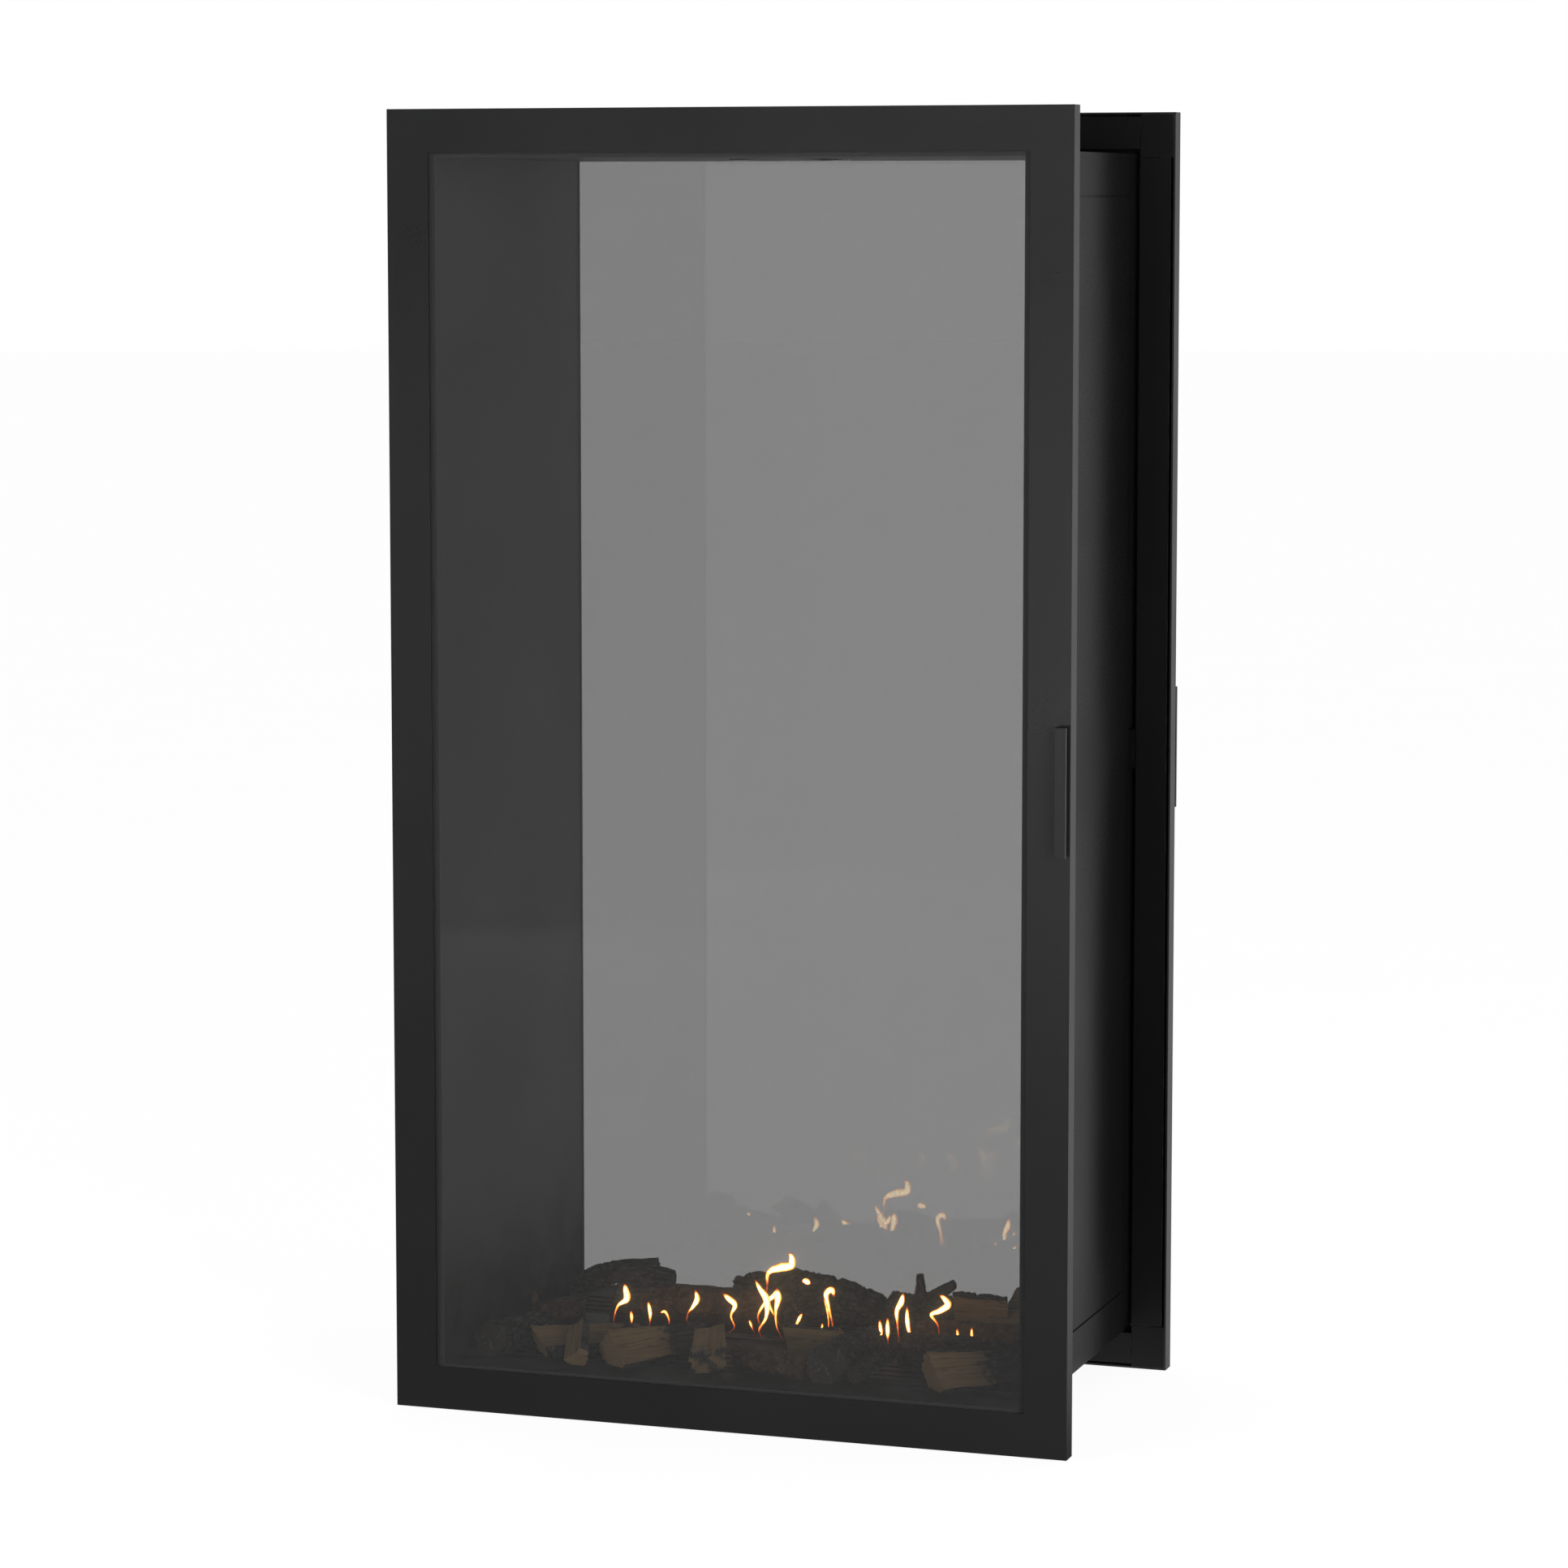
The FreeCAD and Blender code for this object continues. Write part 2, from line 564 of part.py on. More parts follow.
LOGS = {
    "log_front_01": ("round", 0, [(-0.92, -0.80, 15, 18), (-0.82, -0.42, 16, 17)]),
    "log_front_02": ("split", -18, [(-0.76, -0.71, 13, 20), (-0.44, -0.40, 13, 18)]),
    "log_front_03": ("split", 45, [(-0.585, -0.89, 9, 13), (-0.63, -0.66, 31, 12)]),
    "log_front_04": ("split", -45, [(-0.45, -0.83, 15, 23), (-0.24, -0.24, 11, 14)]),
    "log_front_05": ("split", 5, [(-0.11, -0.84, 15, 19), (-0.17, -0.56, 32, 16)]),
    "log_front_06": ("round", 0, [(-0.05, -0.59, 11, 14), (0.23, -0.80, 11, 13)]),
    "log_front_07": ("split", -85, [(0.05, -0.28, 12, 17), (0.24, -0.24, 12, 17)]),
    "log_front_08": ("round", 0, [(0.30, -0.82, 16, 19), (0.33, -0.20, 14, 18)]),
    "log_front_09": ("round", 0, [(0.41, -0.85, 8, 10), (0.48, -0.42, 20, 9)]),
    "log_front_10": ("round", 0, [(0.46, -0.26, 14, 16), (0.70, -0.13, 12, 13)]),
    "log_front_11": ("split", -45, [(0.68, -0.80, 16, 23), (0.93, -0.54, 15, 21)]),
    "log_front_12": ("round", 0, [(0.54, -0.44, 11, 13), (0.92, -0.33, 11, 11)]),
    "log_rear_01": ("round", 0, [(-0.94, -0.03, 10, 12), (-0.82, 0.20, 13, 12)]),
    "log_rear_02": ("round", 0, [(-0.88, 0.32, 8, 10), (-0.77, 0.32, 43, 12), (-0.50, 0.32, 49, 9)]),
    "log_rear_03": ("round", 0, [(-0.73, 0.33, 15, 21), (-0.17, 0.32, 17, 20)]),
    "log_rear_04": ("round", 0, [(-0.25, 0.42, 20, 22), (-0.02, 0.43, 27, 25), (0.25, 0.42, 18, 17)]),
    "log_rear_05": ("round", 0, [(0.28, 0.42, 19, 21), (0.50, 0.43, 17, 15)]),
    "log_rear_06": ("split", -85, [(0.52, 0.43, 21, 23), (0.70, 0.44, 21, 23)]),
    "log_rear_07": ("round", 0, [(0.42, 0.29, 10, 12), (0.84, 0.29, 11, 11)]),
    "log_rear_08": ("split", -30, [(0.71, 0.51, 25, 27), (0.90, 0.50, 30, 28)]),
}

# Branch stubs that were cast in one piece with their log
STUBS = {
    "log_rear_01": [[(-0.95, 0.02, 12, 5), (-0.97, 0.03, 29, 4)]],
    "log_rear_02": [[(-0.70, 0.32, 52, 7), (-0.57, 0.31, 60, 5)]],
    "log_rear_05": [
        [(0.40, 0.42, 30, 8), (0.39, 0.42, 64, 5)],
        [(0.40, 0.42, 26, 9), (0.51, 0.42, 55, 6)],
    ],
}
LOG_SIDES = 9


def log_section(centre, direction, radius, form, turn, seed):
    """Closed outline across a log: an uneven ring, or a wedge for a split log."""
    side = direction.cross(V(0, 0, 1)).normalize()
    up = side.cross(direction).normalize()
    points = []
    for k in range(LOG_SIDES):
        uneven = 1.0 + 0.10 * math.sin(2.1 * k + seed) + 0.05 * math.cos(3.7 * k + 1.7 * seed)
        angle = 2 * math.pi * k / LOG_SIDES
        if form == "split":
            angle = math.radians(turn - 90) + math.radians(210) * (k / (LOG_SIDES - 2) - 0.5)
        reach = radius * uneven
        if form == "split" and k == LOG_SIDES - 1:
            angle = math.radians(turn + 90)
            reach = 0.12 * radius
        points.append(centre + side * (reach * math.cos(angle)) + up * (reach * math.sin(angle)))
    return points


def frustum(low, high):
    """Solid between two similar outlines in parallel planes."""
    following = list(zip(low, high))[1:] + [(low[0], high[0])]
    outlines = [[a, c, d, b] for (a, b), (c, d) in zip(zip(low, high), following)]
    faces = [Part.Face(Part.makePolygon(outline + outline[:1])) for outline in [low, high] + outlines]
    solid = Part.Solid(Part.Shell(faces))
    solid.fix(1e-6, 1e-6, 1e-3)
    return solid


def log_blank(form, turn, stations, seed):
    """Log before it is bedded: one tapered length between each two stations."""
    centres = [V(x * LOG_REACH_X, y * LOG_REACH_Y, BED_TOP + LOG_UNIT_LENGTH * z)
               for x, y, z, radius in stations]
    runs = [b - a for a, b in zip(centres, centres[1:])]
    pieces = []
    for index, run in enumerate(runs):
        low, high = [log_section(centres[i], run, LOG_UNIT_LENGTH * stations[i][3], form, turn, seed)
                     for i in (index, index + 1)]
        pieces.append(frustum(low, high))
    return pieces[0].fuse(pieces[1:]).removeSplitter() if len(pieces) > 1 else pieces[0]


def bedded_logs():
    """Logs in order, each cut where it beds on the plates and on the logs laid before it."""
    floor = box(-HALF_WIDTH, HALF_WIDTH, -FACE_Y, FACE_Y, 0, FLOOR_TOP)
    grille = bed_blank(GRILLE_OFFSET, GRILLE_DEPTH)
    plates = [bed_blank(0, PLATE_DEPTH), grille, flip_y(grille)]
    port_end = PORT_LENGTH / 2 + BED_FIT
    port_side = PORT_CAP / 2 + BED_FIT
    port = box(-port_end, port_end, -port_side, port_side, 0, BED_TOP + PORT_CAP_HEIGHT + BED_FIT)
    laid = {}
    for seed, (name, (form, turn, stations)) in enumerate(LOGS.items()):
        stubs = [log_blank("round", 0, stub, seed) for stub in STUBS.get(name, [])]
        blank = log_blank(form, turn, stations, seed)
        blank = blank.fuse(stubs) if stubs else blank
        bedded = blank.cut([floor, port] + plates + list(laid.values()))
        laid[name] = max(bedded.Solids, key=lambda solid: solid.Volume)
    return laid


def door_pieces():
    """Pieces of the front door by name."""
    return {
        "face_frame": face_frame(),
        "glass": glass(),
        "seal": seal(),
        "stile_bars": stile_bars(),
        "rail_bars": rail_bars(),
        "corner_plates": corner_plates(),
        "handle": handle(),
        "pivot_blocks": pivot_blocks(),
    }


def build():
    """All pieces by node name."""
    side = casing_side()
    wall = liner_wall()
    grille = bed_grille()
    washer = thrust_washer()
    pieces = {
        "casing_right_panel": side,
        "casing_left_panel": flip_x(side),
        "casing_top_pan": casing_top_pan(),
        "casing_bottom_pan": casing_bottom_pan(),
        "liner_right_wall": wall,
        "liner_left_wall": flip_x(wall),
        "liner_floor": liner_floor(),
        "liner_ceiling": liner_ceiling(),
        "flue_outer_collar": flue_outer_collar(),
        "flue_inner_spigot": flue_inner_spigot(),
        "burner_plate": burner_plate(),
        "burner_grilles": group(grille, flip_y(grille)),
        "burner_port_bar": burner_port_bar(),
        "burner_box": burner_box(),
        "gas_inlet": gas_inlet(),
        "pilot_hood": pilot_hood(),
        "spark_electrode": spark_electrode(),
        "thermocouple": thermocouple(),
        "hinge_straps": four_corners(hinge_strap()),
        "hinge_pins": four_corners(hinge_pin()),
        "thrust_washers": group(washer, flip_y(washer)),
        "catch_magnets": catch_magnets(),
    }
    pieces.update(bedded_logs())
    for name, shape in door_pieces().items():
        pieces["front_" + name] = shape
        pieces["rear_" + name] = flip_y(shape)
    return pieces


def main():
    os.makedirs("parts", exist_ok=True)
    for name, shape in build().items():
        shape.exportStep("parts/" + name + ".step")
        print(name, "solids", len(shape.Solids), "volume", round(shape.Volume), "valid", shape.isValid())


main()
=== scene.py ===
# %% [markdown]
# A double-sided gas fireplace: two black door frames with smoke-tinted panes, a sheet casing between
# them, and a low bed of ceramic logs with a row of small flames. The metal pieces come from the CAD
# frame as they are and get their finishes here. Logs and flames are new surfaces worked out with numpy.

# %% Load the frame
import json
import math

import bpy
import numpy as np
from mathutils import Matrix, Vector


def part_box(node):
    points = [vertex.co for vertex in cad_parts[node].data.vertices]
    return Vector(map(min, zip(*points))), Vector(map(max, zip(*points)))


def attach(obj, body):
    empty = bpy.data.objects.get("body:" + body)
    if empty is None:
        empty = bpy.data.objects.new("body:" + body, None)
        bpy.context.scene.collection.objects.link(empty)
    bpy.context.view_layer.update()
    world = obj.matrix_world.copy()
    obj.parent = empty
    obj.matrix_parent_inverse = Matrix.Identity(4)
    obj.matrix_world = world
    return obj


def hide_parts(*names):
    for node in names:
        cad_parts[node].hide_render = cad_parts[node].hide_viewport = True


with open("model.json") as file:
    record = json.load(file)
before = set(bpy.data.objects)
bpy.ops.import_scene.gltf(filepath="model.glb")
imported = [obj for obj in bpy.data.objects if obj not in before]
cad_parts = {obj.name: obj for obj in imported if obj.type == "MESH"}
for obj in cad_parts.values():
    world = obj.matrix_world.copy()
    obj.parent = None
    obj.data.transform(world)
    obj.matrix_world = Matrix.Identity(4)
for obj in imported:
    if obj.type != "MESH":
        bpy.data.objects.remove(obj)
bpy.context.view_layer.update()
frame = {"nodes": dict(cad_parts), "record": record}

nodes = frame["nodes"]
slot_of = {row["node"]: row["material_slot"] for row in frame["record"]["subparts"]}

# %% [markdown]
# Every finish is a small tree of shader nodes. Writing each node out takes many lines, so a few helpers
# do it: one makes a node and fills its inputs, and others mix colours, do sums, spread a value over a new
# range, stretch a pattern and make cloudy noise. An input that is given a socket is linked, and any other
# value is set on the socket itself. What several finishes share is kept in a node group.

# %% Node helpers
def add(tree, kind, values=None, **settings):
    """One shader node with its own settings, its inputs set or linked by name or by number."""
    made = tree.nodes.new(kind)
    for name, setting in settings.items():
        setattr(made, name, setting)
    for name, value in (values or {}).items():
        socket = made.inputs[name]
        if isinstance(value, bpy.types.NodeSocket):
            tree.links.new(value, socket)
        else:
            socket.default_value = value
    return made


def rgb(red, green, blue):
    """A colour socket's value."""
    return (red, green, blue, 1.0)


def mixed(tree, share, first, second):
    """first where share is 0, second where it is 1."""
    made = add(tree, "ShaderNodeMix", {0: share, 6: first, 7: second}, data_type="RGBA")
    return made.outputs[2]


def sums(tree, operation, first, second, clamp=False):
    """One sum on two values."""
    values = {0: first, 1: second}
    return add(tree, "ShaderNodeMath", values, operation=operation, use_clamp=clamp).outputs[0]


def spread(tree, value, low, high, to_low=0.0, to_high=1.0):
    """value carried smoothly from low..high to to_low..to_high."""
    values = {"Value": value, 1: low, 2: high, 3: to_low, 4: to_high}
    made = add(tree, "ShaderNodeMapRange", values, interpolation_type="SMOOTHSTEP")
    return made.outputs["Result"]


def noise(tree, place, scale, detail=3.0, rough=0.5):
    """Cloudy values from 0 to 1 at a place, scale patches to a metre."""
    values = {"Vector": place, "Scale": scale, "Detail": detail, "Roughness": rough}
    return add(tree, "ShaderNodeTexNoise", values).outputs[0]


def object_place(tree):
    """Where a point lies, in the object's own metres."""
    return add(tree, "ShaderNodeTexCoord").outputs["Object"]


def stretched(tree, place, stretch):
    """A place with each axis multiplied, so that a pattern is squeezed where the number is large."""
    values = {0: place, 1: stretch}
    return add(tree, "ShaderNodeVectorMath", values, operation="MULTIPLY").outputs["Vector"]


def unsigned(tree, value):
    """A value without its sign."""
    return add(tree, "ShaderNodeMath", {0: value}, operation="ABSOLUTE").outputs[0]


def link(tree, socket, node, title):
    """socket to the node's named input."""
    tree.links.new(socket, node.inputs[title])


def empty_tree(holder):
    """The node tree of a material, a world or the picture, with nothing in it."""
    holder.use_nodes = True
    holder.node_tree.nodes.clear()
    return holder.node_tree


def new_group(name, inputs, outputs):
    """An empty node group with named sockets; gives the tree, its input sockets and its output node."""
    tree = bpy.data.node_groups.new(name, "ShaderNodeTree")
    for title, kind in inputs.items():
        tree.interface.new_socket(title, in_out="INPUT", socket_type=kind)
    for title, kind in outputs.items():
        tree.interface.new_socket(title, in_out="OUTPUT", socket_type=kind)
    start = tree.nodes.new("NodeGroupInput")
    return tree, start.outputs, tree.nodes.new("NodeGroupOutput")


def close_group(tree, end, results):
    """Links each named result to the group's output."""
    for title, socket in results.items():
        tree.links.new(socket, end.inputs[title])
    print("group:", tree.name, len(tree.nodes), "nodes")
    return tree


COLOUR, VALUE, VECTOR = "NodeSocketColor", "NodeSocketFloat", "NodeSocketVector"

# %% [markdown]
# Powder coat is paint fused from dust: up close it has a faint orange-peel relief and tiny light
# grains, and from a distance it varies in sheen where hands and dust have been. The same effect at other
# values also gives the matt heat-proof paint and the enamel, so it is a group that is built once.

# %% Group: powder coat
def make_powder_coat():
    """Fine noise for grain and relief, wide noise for the sheen's slow change over a panel."""
    inputs = {"Dark": COLOUR, "Light": COLOUR, "Grain": VALUE, "Sheen": VALUE}
    outputs = {"Colour": COLOUR, "Roughness": VALUE, "Height": VALUE}
    tree, given, end = new_group("powder_coat", inputs, outputs)
    place = object_place(tree)
    fine = noise(tree, place, given["Grain"], 2.0)
    wide = noise(tree, place, 4.0, 3.0)
    specks = spread(tree, noise(tree, place, 620.0, 1.0), 0.62, 0.78, 0.0, 0.35)
    share = sums(tree, "ADD", spread(tree, wide, 0.3, 0.7, 0.0, 0.55), specks, True)
    colour = mixed(tree, share, given["Dark"], given["Light"])
    drift = spread(tree, wide, 0.25, 0.75, -0.05, 0.06)
    rough = sums(tree, "ADD", given["Sheen"], drift)
    rough = sums(tree, "ADD", rough, spread(tree, fine, 0.3, 0.7, -0.02, 0.03))
    return close_group(tree, end, {"Colour": colour, "Roughness": rough, "Height": fine})


powder_coat = make_powder_coat()

# %% [markdown]
# Folded sheet never has knife edges: the bend is a small round that catches a line of light, and it is
# where the coat rubs thin first. A bevel could be cut into the mesh, but the metal pieces belong to the
# CAD frame, so the round is made in shading: the Bevel node turns the normal near an edge, and the
# difference from the true normal is a mask for the rub.

# %% Group: rounded and rubbed edge
def make_edge_rub():
    """The rounded normal, and a mask that is 1 where it turns away from the true normal."""
    tree, given, end = new_group("edge_rub", {"Radius": VALUE}, {"Mask": VALUE, "Normal": VECTOR})
    round_normal = add(tree, "ShaderNodeBevel", {"Radius": given["Radius"]}, samples=4).outputs[0]
    true_normal = add(tree, "ShaderNodeNewGeometry").outputs["True Normal"]
    values = {0: round_normal, 1: true_normal}
    alike = add(tree, "ShaderNodeVectorMath", values, operation="DOT_PRODUCT").outputs["Value"]
    turned = spread(tree, alike, 0.995, 0.86)
    place = object_place(tree)
    patchy = spread(tree, noise(tree, place, 60.0), 0.45, 0.7)
    mask = sums(tree, "MULTIPLY", turned, patchy)
    return close_group(tree, end, {"Mask": mask, "Normal": round_normal})


edge_rub = make_edge_rub()

# %% [markdown]
# Bare metal sheet carries the lines of the rolls or the lathe. They are noise squeezed hard in one
# direction, so the group takes the stretch as a vector: large numbers run across the lines.

# %% Group: rolled metal
def make_rolled_metal():
    """Noise stretched along the rolling direction for streaks, with wide noise for stains."""
    inputs = {"Dark": COLOUR, "Light": COLOUR, "Stretch": VECTOR, "Sheen": VALUE}
    outputs = {"Colour": COLOUR, "Roughness": VALUE, "Height": VALUE}
    tree, given, end = new_group("rolled_metal", inputs, outputs)
    place = object_place(tree)
    streaks = noise(tree, stretched(tree, place, given["Stretch"]), 1.0, 3.0)
    stains = noise(tree, place, 28.0, 4.0)
    share = sums(tree, "MULTIPLY", spread(tree, streaks, 0.3, 0.7), spread(tree, stains, 0.2, 0.75))
    colour = mixed(tree, share, given["Dark"], given["Light"])
    rough = sums(tree, "ADD", given["Sheen"], spread(tree, stains, 0.3, 0.7, -0.06, 0.1))
    return close_group(tree, end, {"Colour": colour, "Roughness": rough, "Height": streaks})


rolled_metal = make_rolled_metal()

# %% [markdown]
# A material starts as an empty tree with one Principled shader. Relief that is finer than the mesh is a
# bump in shading, which costs no faces, so it is kept for grain, lines and weave.

# %% Material helpers
def start_material(name):
    """A material with an empty tree, its shader and its output."""
    material = bpy.data.materials.new(name)
    tree = empty_tree(material)
    shader = add(tree, "ShaderNodeBsdfPrincipled")
    out = add(tree, "ShaderNodeOutputMaterial", {"Surface": shader.outputs[0]})
    print("finish:", name)
    return material, tree, shader, out


def fill_group(tree, group, values):
    """The group's node with each named input set or linked."""
    return add(tree, "ShaderNodeGroup", values, node_tree=group)


def roughen(tree, shader, height, strength, distance, normal=None):
    """Fine relief from a height, on top of the rounded normal where there is one."""
    bump = add(tree, "ShaderNodeBump", {"Strength": strength, "Distance": distance, "Height": height})
    if normal is not None:
        link(tree, normal, bump, "Normal")
    link(tree, bump.outputs[0], shader, "Normal")


# %% [markdown]
# The liner gets painted shade low down, for the shade of the logs on walls and floor: it is darkest at
# the height of the burner and fades out up the walls. It could be painted on the mesh, but the height
# in the object's own metres is enough to place it. The walls' outer side and their edge flanges get
# painted shade too, for the dark gaps that they sit in.

# %% Painted shade on the liner
PAINTED_SHADE_BLACK = rgb(0.010, 0.010, 0.010)
SHADE_FULL, SHADE_TOP = 0.05, 0.26
SHADE_OUTSIDE = 0.8
FLOOR_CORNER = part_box("liner_floor")[1]
WALL_INNER = FLOOR_CORNER[0]
WALL_SHEET = 0.0015


def painted_shade_mask(tree, most):
    """Cloudy painted shade that fades with height, and an even share beyond the middle of the wall's sheet.
    """
    place = object_place(tree)
    spot = add(tree, "ShaderNodeSeparateXYZ", {0: place}).outputs
    cloud = spread(tree, noise(tree, place, 18.0, 4.0), 0.3, 0.7, 0.75, 1.0)
    low = sums(tree, "MULTIPLY", spread(tree, spot["Z"], SHADE_TOP, SHADE_FULL, 0.0, most), cloud)
    middle, outer = WALL_INNER + 0.5 * WALL_SHEET, WALL_INNER + WALL_SHEET
    outside = spread(tree, unsigned(tree, spot["X"]), middle, outer, 0.0, SHADE_OUTSIDE)
    return sums(tree, "MAXIMUM", low, outside)


print("soot: full below", SHADE_FULL, "m, none above", SHADE_TOP, "m")

# %% [markdown]
# The painted pieces share one recipe: coat colour and sheen from the first group, the rounded edge from
# the second, and a slight relief. What changes from piece to piece is how dark and how shiny the coat is.
# The casing is smoother than the frames, so it mirrors the dark back of the rear frame.

# %% Coated metal finishes
GREY_RUB = rgb(0.075, 0.075, 0.078)
EDGE_ROUND = 0.0009
COAT_RELIEF = 0.0004

# slot: darkest and lightest grey, trace of blue, grains to a metre, roughness, relief, gloss, most painted
# shade
COATS = {
    "frame_coat": (0.026, 0.033, 0.001, 900.0, 0.33, 0.05, 0.5, 0.0),
    "frame_inner_coat": (0.008, 0.012, 0.0005, 900.0, 0.46, 0.05, 0.45, 0.0),
    "casing_coat": (0.011, 0.016, 0.0005, 800.0, 0.25, 0.03, 0.11, 0.0),
    "liner_coat": (0.084, 0.099, 0.001, 500.0, 0.46, 0.07, 0.19, 0.90),
    "grille_coat": (0.014, 0.022, 0.001, 700.0, 0.5, 0.06, 0.08, 0.0),
    "burner_gloss": (0.012, 0.018, 0.001, 300.0, 0.36, 0.02, 0.05, 0.0),
    "magnet": (0.007, 0.013, 0.0, 1400.0, 0.55, 0.2, 0.1, 0.0),
}


def coat_grey(level, blue):
    """A grey with a trace of blue, as many black coats have."""
    return rgb(level, level, level + blue)


def coated_metal(name, dark, light, blue, grain, rough, relief, gloss, painted_shade):
    """Painted sheet: coat colour, slow change of sheen, fine relief and a rounded rubbed edge."""
    material, tree, shader, _ = start_material(name)
    shader.inputs["Specular IOR Level"].default_value = gloss
    shades = {"Dark": coat_grey(dark, blue), "Light": coat_grey(light, blue)}
    coat = fill_group(tree, powder_coat, shades | {"Grain": grain, "Sheen": rough})
    rub = fill_group(tree, edge_rub, {"Radius": EDGE_ROUND})
    colour = mixed(tree, rub.outputs["Mask"], coat.outputs["Colour"], GREY_RUB)
    # Painted shade: the coat goes towards black low on the liner and on its outer side, and loses its
    # gloss.
    if painted_shade:
        shade_share = painted_shade_mask(tree, painted_shade)
        colour = mixed(tree, shade_share, colour, PAINTED_SHADE_BLACK)
        link(tree, spread(tree, shade_share, 0.0, 1.0, gloss, 0.0), shader, "Specular IOR Level")
    link(tree, colour, shader, "Base Color")
    link(tree, coat.outputs["Roughness"], shader, "Roughness")
    roughen(tree, shader, coat.outputs["Height"], relief, COAT_RELIEF, rub.outputs["Normal"])
    return material


finish = {name: coated_metal(name, *row) for name, row in COATS.items()}

# %% [markdown]
# Flue, burner and hinge pieces are bare steel, and the gas inlet and the bushed pivot blocks are brass.
# They take the rolled lines as full metal. The stretch says which way the lines run on each piece: around
# a turned one, along a drawn one.

# %% Bare metal finishes
METAL_BUMP, METAL_RELIEF = 0.12, 0.0003

# slot: darker and lighter colour, lines to a metre along each axis, roughness
METALS = {
    "flue_steel": (rgb(0.38, 0.39, 0.4), rgb(0.56, 0.57, 0.58), (9.0, 9.0, 420.0), 0.3),
    "burner_steel": (rgb(0.12, 0.11, 0.1), rgb(0.27, 0.25, 0.23), (14.0, 380.0, 380.0), 0.38),
    "hardware_steel": (rgb(0.24, 0.24, 0.25), rgb(0.4, 0.4, 0.42), (160.0, 160.0, 160.0), 0.36),
    "inlet_brass": (rgb(0.46, 0.32, 0.12), rgb(0.68, 0.5, 0.24), (520.0, 12.0, 12.0), 0.28),
    "pivot_brass": (rgb(0.42, 0.3, 0.12), rgb(0.6, 0.45, 0.22), (60.0, 60.0, 480.0), 0.32),
}


def rolled_sheet(name, dark, light, stretch, rough):
    """Bare metal: stretched streaks in colour and relief, full metallic."""
    material, tree, shader, _ = start_material(name)
    values = {"Dark": dark, "Light": light, "Stretch": stretch, "Sheen": rough}
    sheet = fill_group(tree, rolled_metal, values)
    shader.inputs["Metallic"].default_value = 1.0
    link(tree, sheet.outputs["Colour"], shader, "Base Color")
    link(tree, sheet.outputs["Roughness"], shader, "Roughness")
    roughen(tree, shader, sheet.outputs["Height"], METAL_BUMP, METAL_RELIEF)
    return material


finish |= {name: rolled_sheet(name, *row) for name, row in METALS.items()}

# %% [markdown]
# Each pane is smoke-tinted fireproof glass: it darkens what is behind it and mirrors the fire faintly.
# A closed pane of Principled glass gives both. Shadow and bounced rays go straight through, only a little
# dimmed, so that the studio's light reaches the logs without the noise of bent light.

# %% Smoke-tinted pane
PANE_TINT = rgb(0.508, 0.508, 0.508)
PANE_CLOUD = rgb(0.504, 0.504, 0.504)
PANE_SHADE = rgb(0.85, 0.85, 0.85)


def smoked_glass():
    """Principled glass in a slightly uneven smoke colour, clear to shadow rays and bounced rays."""
    material, tree, shader, out = start_material("door_glass")
    place = object_place(tree)
    cloud = spread(tree, noise(tree, place, 2.2, 2.0), 0.35, 0.65, 0.0, 0.6)
    cloud = sums(tree, "ADD", cloud, spread(tree, noise(tree, place, 90.0, 3.0), 0.4, 0.75, 0.0, 0.4))
    link(tree, mixed(tree, cloud, PANE_TINT, PANE_CLOUD), shader, "Base Color")
    for title, value in {"Roughness": 0.0, "IOR": 1.8, "Transmission Weight": 1.0}.items():
        shader.inputs[title].default_value = value
    through = add(tree, "ShaderNodeBsdfTransparent", {"Color": PANE_SHADE})
    path = add(tree, "ShaderNodeLightPath")
    passing = sums(tree, "MAXIMUM", path.outputs["Is Shadow Ray"], path.outputs["Is Diffuse Ray"])
    blend = add(tree, "ShaderNodeMixShader", {0: passing, 1: shader.outputs[0], 2: through.outputs[0]})
    link(tree, blend.outputs[0], out, "Surface")
    return material


finish["door_glass"] = smoked_glass()

# %% [markdown]
# The seal behind each pane is a woven ribbon of grey glass fibre. The threads are far too fine to model,
# so two crossed waves give the weave as colour and relief.

# %% Woven seal
THREADS = 180.0
WEAVE_DARK, WEAVE_LIGHT = rgb(0.09, 0.09, 0.09), rgb(0.165, 0.165, 0.165)
WEAVE_ROUGH = 0.8
WEAVE_BUMP, WEAVE_RELIEF = 0.4, 0.0005


def woven_ribbon():
    """Two crossed thread waves, multiplied, as relief and as a change between two greys."""
    material, tree, shader, _ = start_material("door_seal")
    place = object_place(tree)
    values = {"Vector": place, "Scale": THREADS}
    warp = add(tree, "ShaderNodeTexWave", values, bands_direction="X").outputs[1]
    weft = add(tree, "ShaderNodeTexWave", values, bands_direction="Z").outputs[1]
    weave = sums(tree, "MULTIPLY", warp, weft)
    link(tree, mixed(tree, weave, WEAVE_DARK, WEAVE_LIGHT), shader, "Base Color")
    shader.inputs["Roughness"].default_value = WEAVE_ROUGH
    roughen(tree, shader, weave, WEAVE_BUMP, WEAVE_RELIEF)
    return material


finish["door_seal"] = woven_ribbon()

# %% [markdown]
# The metal, the panes and the seals are shown as the CAD frame holds them, so each node only takes the
# finish of its material slot.

# %% Dress the CAD nodes
LOG_SLOTS = ("charred_log", "brown_log", "split_log")
dressed = [name for name in nodes if slot_of[name] not in LOG_SLOTS]
for name in dressed:
    nodes[name].data.materials.clear()
    nodes[name].data.materials.append(finish[slot_of[name]])
print("dressed:", len(dressed), "nodes")

# %% [markdown]
# A surface that is a grid of rings closes into a solid when the rings are joined by squares and each
# end runs to one pole. All new pieces, logs and flames alike, are such stacks of rings, so one function
# turns an array of rings into a mesh and can store a value for each point.

